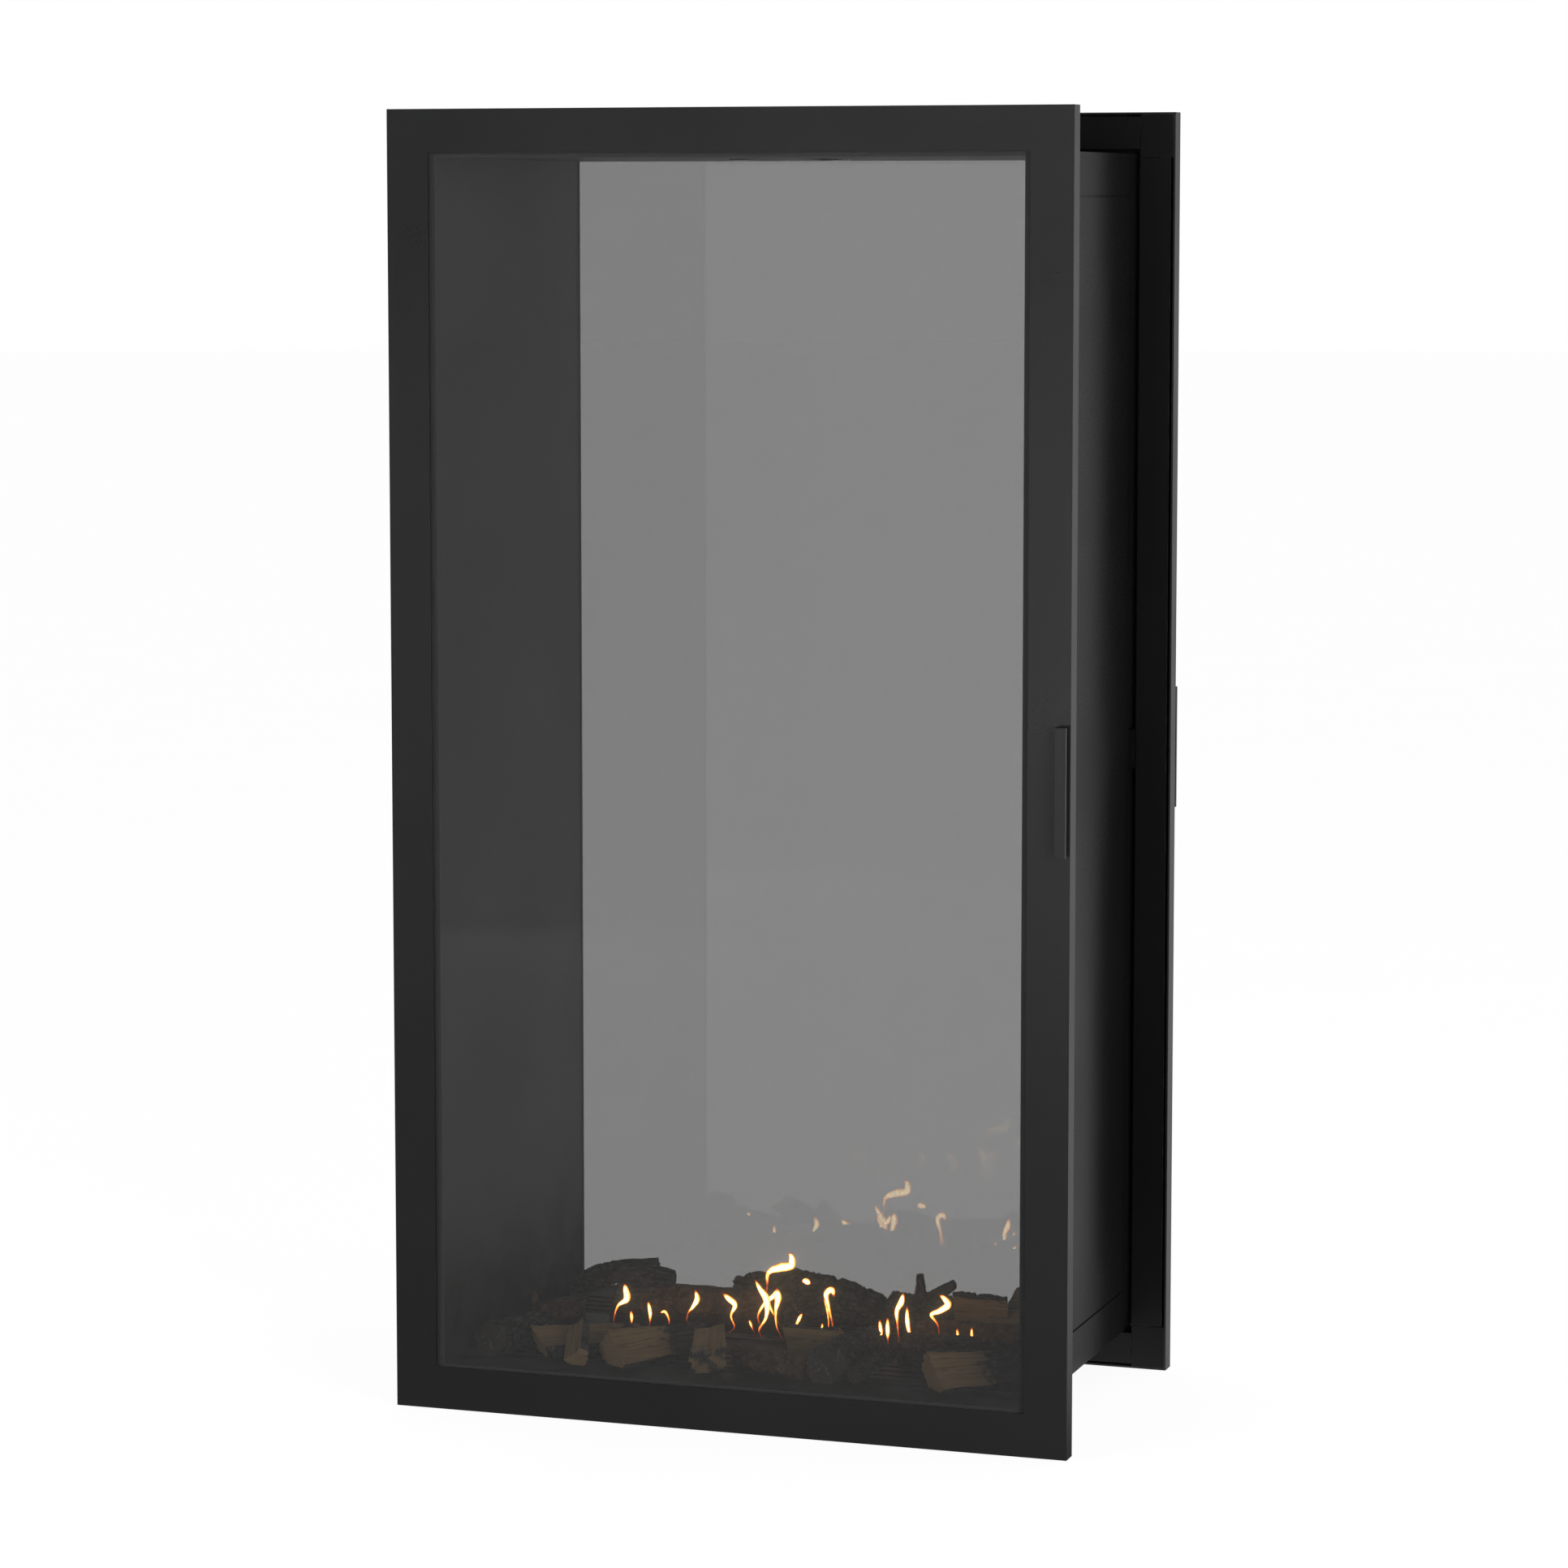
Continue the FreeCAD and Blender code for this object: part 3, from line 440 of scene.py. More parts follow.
# %% Rings to a closed mesh
def ring_faces(n_rings, n_around, first):
    """Squares between neighbouring rings and triangles to the two poles, numbered from first."""
    ring, step = np.meshgrid(np.arange(n_rings - 1), np.arange(n_around), indexing="ij")
    here = first + ring * n_around + step
    beside = first + ring * n_around + (step + 1) % n_around
    squares = np.stack([here, beside, beside + n_around, here + n_around], axis=-1).reshape(-1, 4)
    turn = np.arange(n_around)
    after = (turn + 1) % n_around
    pole = np.full(n_around, first + n_rings * n_around)
    last = first + (n_rings - 1) * n_around
    start = np.stack([first + after, first + turn, pole], axis=-1)
    stop = np.stack([last + turn, last + after, pole + 1], axis=-1)
    return squares, np.concatenate([start, stop])


def with_poles(values):
    """A ring grid's values in mesh order, with each end ring's mean added as its pole."""
    flat = values.reshape(-1, values.shape[-1])
    return np.concatenate([flat, values[:1].mean(axis=1), values[-1:].mean(axis=1)])


def piece_from_rings(name, stacks, material):
    """One object of several closed stacks; a stack is (rings, {attribute name: values})."""
    points, squares, triangles, marks = [], [], [], {}
    count = 0
    for rings, values in stacks:
        four, three = ring_faces(rings.shape[0], rings.shape[1], count)
        points.append(with_poles(rings))
        squares.append(four)
        triangles.append(three)
        for title, value in values.items():
            grid = value if value.ndim == 3 else value[..., None]
            marks.setdefault(title, []).append(with_poles(grid))
        count += len(points[-1])
    mesh = bpy.data.meshes.new(name)
    faces = np.concatenate(squares).tolist() + np.concatenate(triangles).tolist()
    mesh.from_pydata(np.concatenate(points).tolist(), [], faces)
    for title, parts in marks.items():
        data = np.concatenate(parts)
        kind, field = ("FLOAT_VECTOR", "vector") if data.shape[1] == 3 else ("FLOAT", "value")
        store = mesh.attributes.new(title, kind, "POINT")
        store.data.foreach_set(field, data.ravel().astype(np.float32))
    mesh.polygons.foreach_set("use_smooth", np.ones(len(faces), dtype=bool))
    mesh.materials.append(material)
    made = bpy.data.objects.new(name, mesh)
    bpy.context.scene.collection.objects.link(made)
    return made


# %% [markdown]
# Bark and char are broken into plates with cracks between them, and split wood into long splinters. Two
# numpy functions give these reliefs: a smooth noise on a lattice that repeats around the log, and a
# plate pattern, where the crack is the place that is equally far from its two nearest plate centres.

# %% Relief functions
LATTICE = 96


def eased(share):
    """A share from 0 to 1 with a level start and stop: 3 s squared less 2 s cubed."""
    share = np.clip(share, 0.0, 1.0)
    return share * share * (3.0 - 2.0 * share)


def lattice_noise(around, along, wrap, seed):
    """Random heights on whole-number points, blended with eased shares; around repeats after wrap."""
    heights = np.random.default_rng(seed).random((wrap, LATTICE))
    i, j = np.floor(around).astype(int), np.floor(along).astype(int)
    p, q = eased(around - i), eased(along - j)
    here, beside = i % wrap, (i + 1) % wrap
    row, next_row = j % LATTICE, (j + 1) % LATTICE
    low = heights[here, row] * (1 - p) + heights[beside, row] * p
    high = heights[here, next_row] * (1 - p) + heights[beside, next_row] * p
    return low * (1 - q) + high * q


def plate_pattern(around, along, wrap, seed):
    """Distance to the second nearest plate centre less that to the nearest: 0 in a crack."""
    centres = np.random.default_rng(seed).random((wrap, LATTICE, 2))
    i, j = np.floor(around).astype(int), np.floor(along).astype(int)
    distances = []
    for di in (-1, 0, 1):
        for dj in (-1, 0, 1):
            centre = centres[(i + di) % wrap, (j + dj) % LATTICE]
            off_around = i + di + centre[..., 0] - around
            off_along = j + dj + centre[..., 1] - along
            distances.append(np.hypot(off_around, off_along))
    nearest = np.sort(np.stack(distances), axis=0)
    return nearest[1] - nearest[0]


print("relief: lattice noise and plate pattern on", LATTICE, "rows")

# %% [markdown]
# The twenty logs lie where the CAD solids lie, to within a few millimetres. Their meshes could be
# displaced, but bark needs far finer squares, so each log is drawn anew from its axis. The table gives the
# axis as stations: two shares of the bed's reach, height above the burner plate and radius in millimetres.

# %% Log table
MM = 0.001
LOG_CLEARANCE = 0.008
REACH_X = round(FLOOR_CORNER[0] - LOG_CLEARANCE, 4)
REACH_Y = round(FLOOR_CORNER[1] - WALL_SHEET - LOG_CLEARANCE, 4)

# name: kind, turn of the split face in degrees, charred share at both ends, bark plate in mm, stations
LOGS = {
    "log_front_01": ("round", 0, (0.3, 0.1), 9, [(-0.92, -0.80, 15, 18), (-0.82, -0.42, 16, 17)]),
    "log_front_02": ("split", -18, (0.0, 0.5), 9, [(-0.76, -0.71, 13, 20), (-0.44, -0.40, 13, 18)]),
    "log_front_03": ("split", 45, (0.0, 0.1), 8, [(-0.585, -0.89, 9, 13), (-0.63, -0.66, 31, 12)]),
    "log_front_04": ("split", -45, (0.0, 1.5), 9, [(-0.45, -0.83, 15, 23), (-0.24, -0.24, 11, 14)]),
    "log_front_05": ("split", 5, (0.5, 0.2), 8, [(-0.11, -0.84, 15, 19), (-0.17, -0.56, 32, 16)]),
    "log_front_06": ("round", 0, (0.2, 0.0), 7, [(-0.05, -0.59, 11, 14), (0.23, -0.80, 11, 13)]),
    "log_front_07": ("split", -85, (0.0, 0.0), 8, [(0.05, -0.28, 12, 17), (0.24, -0.24, 12, 17)]),
    "log_front_08": ("round", 0, (0.2, 0.2), 14, [(0.30, -0.82, 16, 19), (0.33, -0.20, 14, 18)]),
    "log_front_09": ("round", 0, (0.2, 0.4), 7, [(0.41, -0.85, 8, 10), (0.48, -0.42, 20, 9)]),
    "log_front_10": ("round", 0, (0.0, 0.7), 8, [(0.46, -0.26, 14, 16), (0.70, -0.13, 12, 13)]),
    "log_front_11": ("split", -45, (0.1, 0.8), 10, [(0.68, -0.80, 16, 23), (0.93, -0.54, 15, 21)]),
    "log_front_12": ("round", 0, (0.4, 0.2), 8, [(0.54, -0.44, 11, 13), (0.92, -0.33, 11, 11)]),
    "log_rear_01": ("round", 0, (0.0, 0.5), 8, [(-0.94, -0.03, 10, 12), (-0.82, 0.20, 13, 12)]),
    "log_rear_02": (
        "round", 0, (0.6, 0.6), 7, [(-0.88, 0.32, 8, 10), (-0.77, 0.32, 42, 12), (-0.50, 0.32, 44, 7)]
    ),
    "log_rear_03": ("round", 0, (0.8, 0.1), 13, [(-0.73, 0.33, 15, 21), (-0.17, 0.32, 17, 20)]),
    "log_rear_04": (
        "round", 0, (0.3, 0.3), 10, [(-0.25, 0.42, 20, 22), (-0.02, 0.43, 27, 25), (0.25, 0.42, 18, 17)]
    ),
    "log_rear_05": ("round", 0, (0.7, 0.7), 8, [(0.28, 0.42, 20, 22), (0.50, 0.43, 21, 18)]),
    "log_rear_06": ("split", -85, (0.0, 0.0), 9, [(0.52, 0.43, 21, 23), (0.715, 0.44, 21, 23)]),
    "log_rear_07": ("round", 0, (0.2, 0.1), 8, [(0.42, 0.29, 10, 12), (0.84, 0.29, 11, 11)]),
    "log_rear_08": ("split", -30, (0.2, 0.0), 9, [(0.69, 0.51, 25, 27), (0.90, 0.50, 30, 28)]),
}

# Branch stubs cast in one piece with their log: charred share at both ends, stations
STUBS = {
    "log_rear_01": [((0.0, 0.0), [(-0.95, 0.02, 12, 5), (-0.97, 0.03, 29, 4)])],
    "log_rear_02": [((0.6, 0.6), [(-0.70, 0.32, 52, 7), (-0.56, 0.31, 60, 4)])],
    "log_rear_05": [
        ((0.7, 0.5), [(0.40, 0.42, 30, 8), (0.395, 0.42, 62, 3.5)]),
        ((0.7, 0.5), [(0.40, 0.42, 30, 9), (0.52, 0.42, 54, 5)]),
    ],
}
print("table:", len(LOGS), "logs,", len(STUBS), "with stubs, reach", REACH_X, REACH_Y)

# %% [markdown]
# A branch is rarely straight, so the axis is a parabola through its stations. A round log's section is a
# wobbly circle. A split log's is most of a circle of bark, closed by two flat faces of bare wood that meet
# at a low ridge. The wobble is the same sum of waves as on the solids, so that both lie alike.

# %% Log axis and sections
BED_HALF_X, PLATE_HALF, BED_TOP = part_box("burner_plate")[1]
N_AROUND = 160
POINT_STEP = 0.0010
FEWEST_RINGS = 60
CORNERS = 9
SPLIT_ARC = 210.0
SPLIT_RIDGE = 0.12
BARK_SHARE = 0.6
WOOD_LEAD, WOOD_LAG, WOOD_BLEND = 0.012, 0.008, 0.02


def log_axis(stations):
    """A parabola through the first, middle and last station, as points and radii along its length."""
    spots = [np.array([x * REACH_X, y * REACH_Y, BED_TOP + z * MM, r * MM]) for x, y, z, r in stations]
    first, last = spots[0], spots[-1]
    middle = spots[1] if len(spots) == 3 else (first + last) / 2
    pull = 2 * middle - (first + last) / 2
    length = np.linalg.norm(middle[:3] - first[:3]) + np.linalg.norm(last[:3] - middle[:3])
    t = np.linspace(0, 1, max(FEWEST_RINGS, int(length / POINT_STEP)))[:, None]
    line = (1 - t) ** 2 * first + 2 * t * (1 - t) * pull + t**2 * last
    return line[:, :3], line[:, 3], length


def corner_reach(corner, seed):
    """How far a corner of the section stands out: 1 and two small waves of the corner's number."""
    return 1 + 0.10 * np.sin(2.1 * corner + seed) + 0.05 * np.cos(3.7 * corner + 1.7 * seed)


def round_outline(seed):
    """A circle whose reach wanders from corner to corner; no part of it is bare wood."""
    reach = corner_reach(np.arange(CORNERS + 1) % CORNERS, seed)
    turn = np.linspace(0, CORNERS, N_AROUND, endpoint=False)
    corner = turn.astype(int)
    blend = eased(turn - corner)
    size = reach[corner] * (1 - blend) + reach[corner + 1] * blend
    angle = turn * 2 * np.pi / CORNERS
    return np.stack([size * np.cos(angle), size * np.sin(angle)], axis=-1), np.zeros(N_AROUND)


def split_outline(turn, seed):
    """An uneven arc of bark, then two straight faces that meet at a low ridge; 1 where wood is bare."""
    s = np.linspace(0, 1, N_AROUND, endpoint=False)
    bow = np.clip(s / BARK_SHARE, 0, 1)
    sweep = np.radians(turn - 90 + SPLIT_ARC * (bow - 0.5))
    corner = np.arange(CORNERS - 1)
    reach = np.interp(bow * (CORNERS - 2), corner, corner_reach(corner, seed))
    arc = np.stack([np.cos(sweep), np.sin(sweep)], axis=-1) * reach[:, None]
    ridge_way = math.radians(turn + 90)
    ridge = SPLIT_RIDGE * np.array([math.cos(ridge_way), math.sin(ridge_way)])
    half = (1 - BARK_SHARE) / 2
    out = np.clip((s - BARK_SHARE) / half, 0, 1)[:, None]
    back = np.clip((s - BARK_SHARE - half) / half, 0, 1)[:, None]
    outline = arc + (ridge - arc) * out + (arc[0] - ridge) * back
    starts = eased((s - BARK_SHARE + WOOD_LEAD) / WOOD_BLEND)
    stops = eased((1 + WOOD_LAG - s) / WOOD_BLEND)
    return outline, starts * stops


print("sections:", N_AROUND, "points around, a ring each", POINT_STEP, "m")

# %% [markdown]
# Charred bark is cut deep into plates, brown bark is nearly smooth, and split wood shows splinters along
# the grain. The relief is a share of the radius, so that thin branches get finer bark than thick logs.

# %% Bark and split relief
RELIEF = {"charred_log": 1.3, "brown_log": 0.38, "split_log": 1.0}
FEWEST_PLATES = 5
WARP_SIZE, LUMP_SIZE, SWELL_SIZE = 0.02, 0.03, 0.05
BIG_LENGTH, SMALL_LENGTH, GRIT_LENGTH = 2.6, 0.8, 0.35
BIG_CRACK, SMALL_CRACK, SMALL_DEPTH = 0.30, 0.25, 0.55
CRACK_DEPTH, GRIT_HEIGHT, LUMP_HEIGHT, SWELL_HEIGHT = 0.13, 0.09, 0.20, 0.12
SPLINTER_LENGTH, SPLINTER_HEIGHT = 0.035, 0.022
STEP_LENGTH, STEP_HEIGHT = 0.08, 0.05


def bark_relief(s, t, length, girth, plate, seed):
    """Lumps, swell and grit, less the depth of the cracks between big and small plates; also the cracks."""
    wrap = max(FEWEST_PLATES, int(round(girth / (plate * MM))))
    far = t * length
    warp = lattice_noise(s * 8, far / WARP_SIZE, 8, 900 + seed) - 0.5
    rows = far / (plate * BIG_LENGTH * MM)
    big = plate_pattern(s * wrap + warp * 1.1, rows + warp * 0.9, wrap, seed)
    rows = far / (plate * SMALL_LENGTH * MM)
    small = plate_pattern(s * wrap * 3 + warp, rows + warp, wrap * 3, 30 + seed)
    crack = np.maximum(1 - eased(big / BIG_CRACK), SMALL_DEPTH * (1 - eased(small / SMALL_CRACK)))
    grit = lattice_noise(s * wrap * 5, far / (plate * GRIT_LENGTH * MM), wrap * 5, 50 + seed) - 0.5
    lumps = lattice_noise(s * 5, far / LUMP_SIZE, 5, 100 + seed) - 0.5
    swell = lattice_noise(s * 0 + 2, far / SWELL_SIZE, 5, 120 + seed) - 0.5
    raised = GRIT_HEIGHT * grit + LUMP_HEIGHT * lumps + SWELL_HEIGHT * swell
    return raised - CRACK_DEPTH * crack, crack


def split_relief(s, t, length, seed):
    """Fine splinters along the grain, plus a few wider steps."""
    splinters = lattice_noise(s * 150, t * length / SPLINTER_LENGTH, 150, 150 + seed) - 0.5
    steps = lattice_noise(s * 30, t * length / STEP_LENGTH, 30, 200 + seed) - 0.5
    return SPLINTER_HEIGHT * splinters + STEP_HEIGHT * steps


print("relief:", RELIEF)

# %% [markdown]
# The ends of a log are sawn or broken, never a clean flat disc. The end's shape is one function of the
# place on the section: the rings near an end are pulled along by it, and a few smaller rings close the
# end with it, so that rim and face meet without a step.

# %% Log ends
CAP_SHARES = np.array([0.96, 0.85, 0.65, 0.4, 0.18])
END_SLANT = 0.25
END_FIBRES = 0.0016
FIBRE_SIZE = 0.0035
FIBRE_SHIFT = 40


def end_shape(aside, above, seed):
    """How far an end stands out: a slanted saw cut plus broken fibres, by the place on the section."""
    slant = END_SLANT * (math.sin(1.9 * seed + 0.6) * aside + math.cos(2.7 * seed) * above)
    across, along = aside / FIBRE_SIZE + FIBRE_SHIFT, above / FIBRE_SIZE + FIBRE_SHIFT
    return slant + END_FIBRES * (lattice_noise(across, along, LATTICE, 250 + seed) - 0.5)


def end_cap(axes, rim, seed):
    """Rings that shrink from the rim to the axis on the end's own slanted, broken face."""
    centre, forward, side, up = axes
    along, aside, above = rim["log_place"].T
    a, b = aside * CAP_SHARES[:, None], above * CAP_SHARES[:, None]
    out = end_shape(a, b, seed)
    rings = centre + side * a[..., None] + up * b[..., None] + forward * out[..., None]
    whole = np.ones_like(a)
    values = {
        "wood": whole * rim["wood"].max(),
        "crack": whole * 0.0,
        "char": whole * rim["char"],
        "end": whole,
        "log_place": np.stack([whole * along, a, b], axis=-1),
    }
    return rings, values


print("ends:", len(CAP_SHARES), "rings each")

# %% [markdown]
# Now axis, section, relief and ends make one surface. Each point also stores what the paint needs later:
# whether it is bare wood, how deep in a crack, how charred, on an end or not, and its place along and
# across the log. Points that would sink into the burner bed are lifted onto it.

# %% Log surface
END_FADE = 0.010
CHAR_TO, CHAR_FROM, CHAR_SPAN = 0.55, 0.3, 0.6
CHAR_HIDES, CHAR_BLEND = 0.4, 0.25
RAGGED_SIZE, RAGGED_EDGE = 0.007, 0.6
FLOOR_TOP = FLOOR_CORNER[2]
GRILLE_INNER, GRILLE_OUTER = 0.062, 0.138
BED_GAP = 0.2 * MM


def unit(ways):
    """Each direction at length 1."""
    return ways / np.linalg.norm(ways, axis=1, keepdims=True)


def log_axes(line):
    """The log's own directions at each point of its axis: forward, level to the side, and up."""
    forward = unit(np.gradient(line, axis=0))
    side = unit(np.cross(forward, [0.0, 0.0, 1.0]))
    return forward, side, np.cross(side, forward)


def log_stack(seed, kind, turn, char_ends, plate, stations, depth):
    """Axis plus section times radius times (1 plus relief), pulled along near the ends and closed there."""
    line, radius, length = log_axis(stations)
    outline, wood = round_outline(seed) if kind == "round" else split_outline(turn, seed)
    t = np.linspace(0, 1, len(line))[:, None]
    s = np.linspace(0, 1, N_AROUND, endpoint=False)[None, :]
    bark, crack = bark_relief(s, t, length, 2 * np.pi * radius.mean(), plate, seed)
    char = char_ends[0] * eased(1 - t / CHAR_TO) + char_ends[1] * eased((t - CHAR_FROM) / CHAR_SPAN)
    ragged = lattice_noise(s * 24, t * length / RAGGED_SIZE, 24, 300 + seed) - 0.5
    bare = wood[None, :] * (1 - eased((char + RAGGED_EDGE * ragged - CHAR_HIDES) / CHAR_BLEND))
    relief = depth * bark * (1 - bare) + split_relief(s, t, length, seed) * bare
    size = radius[:, None] * (1 + relief)
    aside, above = size * outline[:, 0], size * outline[:, 1]
    near_end = np.exp(-np.minimum(t, 1 - t) * length / END_FADE)
    pull = end_shape(aside, above, seed) * near_end
    forward, side, up = log_axes(line)
    across = side[:, None, :] * aside[..., None] + up[:, None, :] * above[..., None]
    rings = line[:, None, :] + across + forward[:, None, :] * pull[..., None]
    values = {
        "wood": bare,
        "crack": crack * (1 - bare) * min(depth, 1.0),
        "char": np.broadcast_to(char, crack.shape),
        "end": np.zeros_like(crack),
        "log_place": np.stack(np.broadcast_arrays(t * length, aside, above), axis=-1),
    }
    rims = [{title: value[k] for title, value in values.items()} for k in (0, -1)]
    first, first_values = end_cap((line[0], forward[0], side[0], up[0]), rims[0], seed)
    last, last_values = end_cap((line[-1], forward[-1], side[-1], up[-1]), rims[1], seed)
    for title, value in values.items():
        values[title] = np.concatenate([first_values[title][::-1], value, last_values[title]])
    return np.concatenate([first[::-1], rings, last]), values


def resting(rings):
    """No point lies lower than the plate, grille or floor under it."""
    x, y = np.abs(rings[..., 0]), np.abs(rings[..., 1])
    on_plate = (y < PLATE_HALF) | ((y > GRILLE_INNER) & (y < GRILLE_OUTER))
    ground = np.where(on_plate & (x < BED_HALF_X), BED_TOP, FLOOR_TOP) + BED_GAP
    rings[..., 2] = np.maximum(rings[..., 2], ground)
    return rings


print("bed: plate top", BED_TOP, "floor top", FLOOR_TOP)

# %% [markdown]
# Ceramic logs are cast from real wood and painted by hand: dark bark with grey plates, tan split faces
# with streaks along the grain, soot where flames reach, and specks of ash. The cracks are painted near
# black, as painted shade in the recesses. The masks come from the surface itself, as attributes, so the
# paint follows every crack and split of the shape.

# %% Layers of the log paint
# Near black in the cracks of bark and char: painted shade in the recesses.
CRACK_SHADE_BLACK = rgb(0.006, 0.006, 0.006)
CHAR_CRACK_SHADE = rgb(0.005, 0.005, 0.005)
CHAR_DARK = rgb(0.012, 0.0125, 0.0135)
CHAR_LIGHT = rgb(0.085, 0.092, 0.098)
ASH_GREY = rgb(0.3, 0.3, 0.29)
GRAIN_STRETCH = (18.0, 300.0, 300.0)
SPLIT_STRETCH = (9.0, 170.0, 170.0)


def attribute(tree, title, kind="Fac"):
    """A value that the mesh stores for each point."""
    return add(tree, "ShaderNodeAttribute", attribute_name=title).outputs[kind]


def grain_paint(tree, place, streaks, given):
    """Streaks times blotches times pores, and dark splits where a drawn-out noise crosses one half."""
    blotches = spread(tree, noise(tree, place, 40.0, 3.0), 0.2, 0.7, 0.45, 1.0)
    pores = spread(tree, noise(tree, place, 900.0, 2.0), 0.3, 0.7, 0.72, 1.0)
    grain = sums(tree, "MULTIPLY", spread(tree, streaks, 0.15, 0.8), blotches)
    grain = sums(tree, "MULTIPLY", grain, pores)
    wood = mixed(tree, grain, given["Wood Dark"], given["Wood Light"])
    drawn = noise(tree, stretched(tree, place, SPLIT_STRETCH), 1.0, 2.0)
    off = unsigned(tree, sums(tree, "SUBTRACT", drawn, 0.5))
    splits = spread(tree, off, 0.02, 0.0, 0.0, 0.6)
    return mixed(tree, splits, wood, mixed(tree, 0.7, given["Wood Dark"], rgb(0.0, 0.0, 0.0)))


def ring_paint(tree, place, given):
    """Year rings of a cut end: bent waves around the log's axis."""
    values = {"Vector": place, "Scale": 150.0, "Distortion": 5.0, "Detail": 3.0}
    rings = add(tree, "ShaderNodeTexWave", values, wave_type="RINGS", rings_direction="X").outputs[1]
    share = spread(tree, rings, 0.1, 0.9, 0.3, 0.7)
    return mixed(tree, share, given["Wood Dark"], given["Wood Light"])


def char_paint(tree, place, streaks):
    """How charred a point is, with a ragged edge; the streaked blue-black char, with painted shade in
    cracks.
    """
    ragged = spread(tree, noise(tree, place, 70.0, 5.0, 0.6), 0.25, 0.75, -0.35, 0.35)
    share = spread(tree, sums(tree, "ADD", attribute(tree, "char"), ragged), 0.3, 0.7)
    char = mixed(tree, spread(tree, streaks, 0.38, 0.68), CHAR_DARK, CHAR_LIGHT)
    deep = sums(tree, "MULTIPLY", attribute(tree, "crack"), 0.7)
    return sums(tree, "MULTIPLY", share, 0.93), mixed(tree, deep, char, CHAR_CRACK_SHADE)


def ash_mask(tree, place):
    """Fine specks in wide patches, less of them on bare wood and none in a crack."""
    specks = spread(tree, noise(tree, place, 380.0, 5.0, 0.75), 0.54, 0.68)
    patches = spread(tree, noise(tree, place, 48.0, 2.0), 0.44, 0.62, 0.08, 0.85)
    out_of_crack = sums(tree, "SUBTRACT", 1.0, attribute(tree, "crack"))
    on_bark = sums(tree, "SUBTRACT", 1.0, sums(tree, "MULTIPLY", attribute(tree, "wood"), 0.8))
    ash = sums(tree, "MULTIPLY", sums(tree, "MULTIPLY", specks, patches), out_of_crack)
    return sums(tree, "MULTIPLY", ash, on_bark)


# %% [markdown]
# The layers go on as a painter would put them: bark and wood side by side by the stored mask, year rings
# on the ends, char over both and ash last. They are one group, because all logs share the layers and only
# their four colours differ.

# %% Group: painted log
def make_log_paint():
    """Bark with painted shade in cracks, wood by streaked noise in the log's axes, then char and ash over
    both.
    """
    inputs = {"Bark Dark": COLOUR, "Bark Light": COLOUR, "Wood Dark": COLOUR, "Wood Light": COLOUR}
    outputs = {"Colour": COLOUR, "Roughness": VALUE, "Height": VALUE}
    tree, given, end = new_group("log_paint", inputs, outputs)
    place = attribute(tree, "log_place", "Vector")
    streaks = noise(tree, stretched(tree, place, GRAIN_STRETCH), 1.0, 5.0, 0.6)
    patches = noise(tree, place, 130.0, 5.0, 0.65)
    rings = ring_paint(tree, place, given)
    bark = mixed(tree, spread(tree, patches, 0.35, 0.68), given["Bark Dark"], given["Bark Light"])
    # Painted shade: bark goes near black down in its cracks.
    deep = sums(tree, "MULTIPLY", attribute(tree, "crack"), 0.85)
    bark = mixed(tree, deep, bark, CRACK_SHADE_BLACK)
    cut = sums(tree, "MULTIPLY", attribute(tree, "end"), 0.8)
    bark = mixed(tree, cut, bark, mixed(tree, 0.7, rings, given["Bark Dark"]))
    wood = mixed(tree, cut, grain_paint(tree, place, streaks, given), rings)
    colour = mixed(tree, attribute(tree, "wood"), bark, wood)
    charred, char = char_paint(tree, place, streaks)
    colour = mixed(tree, charred, colour, char)
    colour = mixed(tree, ash_mask(tree, place), colour, ASH_GREY)
    rough = spread(tree, patches, 0.2, 0.8, 0.72, 0.95)
    height = sums(tree, "MULTIPLY", sums(tree, "ADD", patches, streaks), 0.6)
    return close_group(tree, end, {"Colour": colour, "Roughness": rough, "Height": height})


log_paint = make_log_paint()

# %% [markdown]
# Three paints cover the bed: charred logs are near black all over, brown ones have smooth reddish bark,
# and split ones show light tan wood between dark bark.

# %% Log finishes
PAINT_BUMP, PAINT_RELIEF = 0.5, 0.0012

# slot: bark dark, bark light, wood dark, wood light
PAINTS = {
    "charred_log": ((0.016, 0.016, 0.014), (0.08, 0.081, 0.069), (0.08, 0.055, 0.034), (0.18, 0.14, 0.09)),
    "brown_log": ((0.054, 0.030, 0.016), (0.172, 0.103, 0.056), (0.12, 0.075, 0.04), (0.26, 0.18, 0.1)),
    "split_log": ((0.028, 0.027, 0.025), (0.11, 0.105, 0.095), (0.225, 0.142, 0.068), (0.41, 0.29, 0.155)),
}


def painted_log(name, colours):
    """A cast log's paint: the shared group with this log's own four colours."""
    material, tree, shader, _ = start_material(name)
    titles = ("Bark Dark", "Bark Light", "Wood Dark", "Wood Light")
    paint = fill_group(tree, log_paint, {title: rgb(*colour) for title, colour in zip(titles, colours)})
    link(tree, paint.outputs["Colour"], shader, "Base Color")
    link(tree, paint.outputs["Roughness"], shader, "Roughness")
    roughen(tree, shader, paint.outputs["Height"], PAINT_BUMP, PAINT_RELIEF)
    return material


finish |= {name: painted_log(name, colours) for name, colours in PAINTS.items()}

# %% [markdown]
# Each log is one closed mesh, with its branch stubs in the same piece, as they are cast. It stands in for
# the plain CAD log of the same name and stays on the casing's body. The log's number in the table is the
# seed of its bark, so that no two logs look alike and every run gives the same bed.

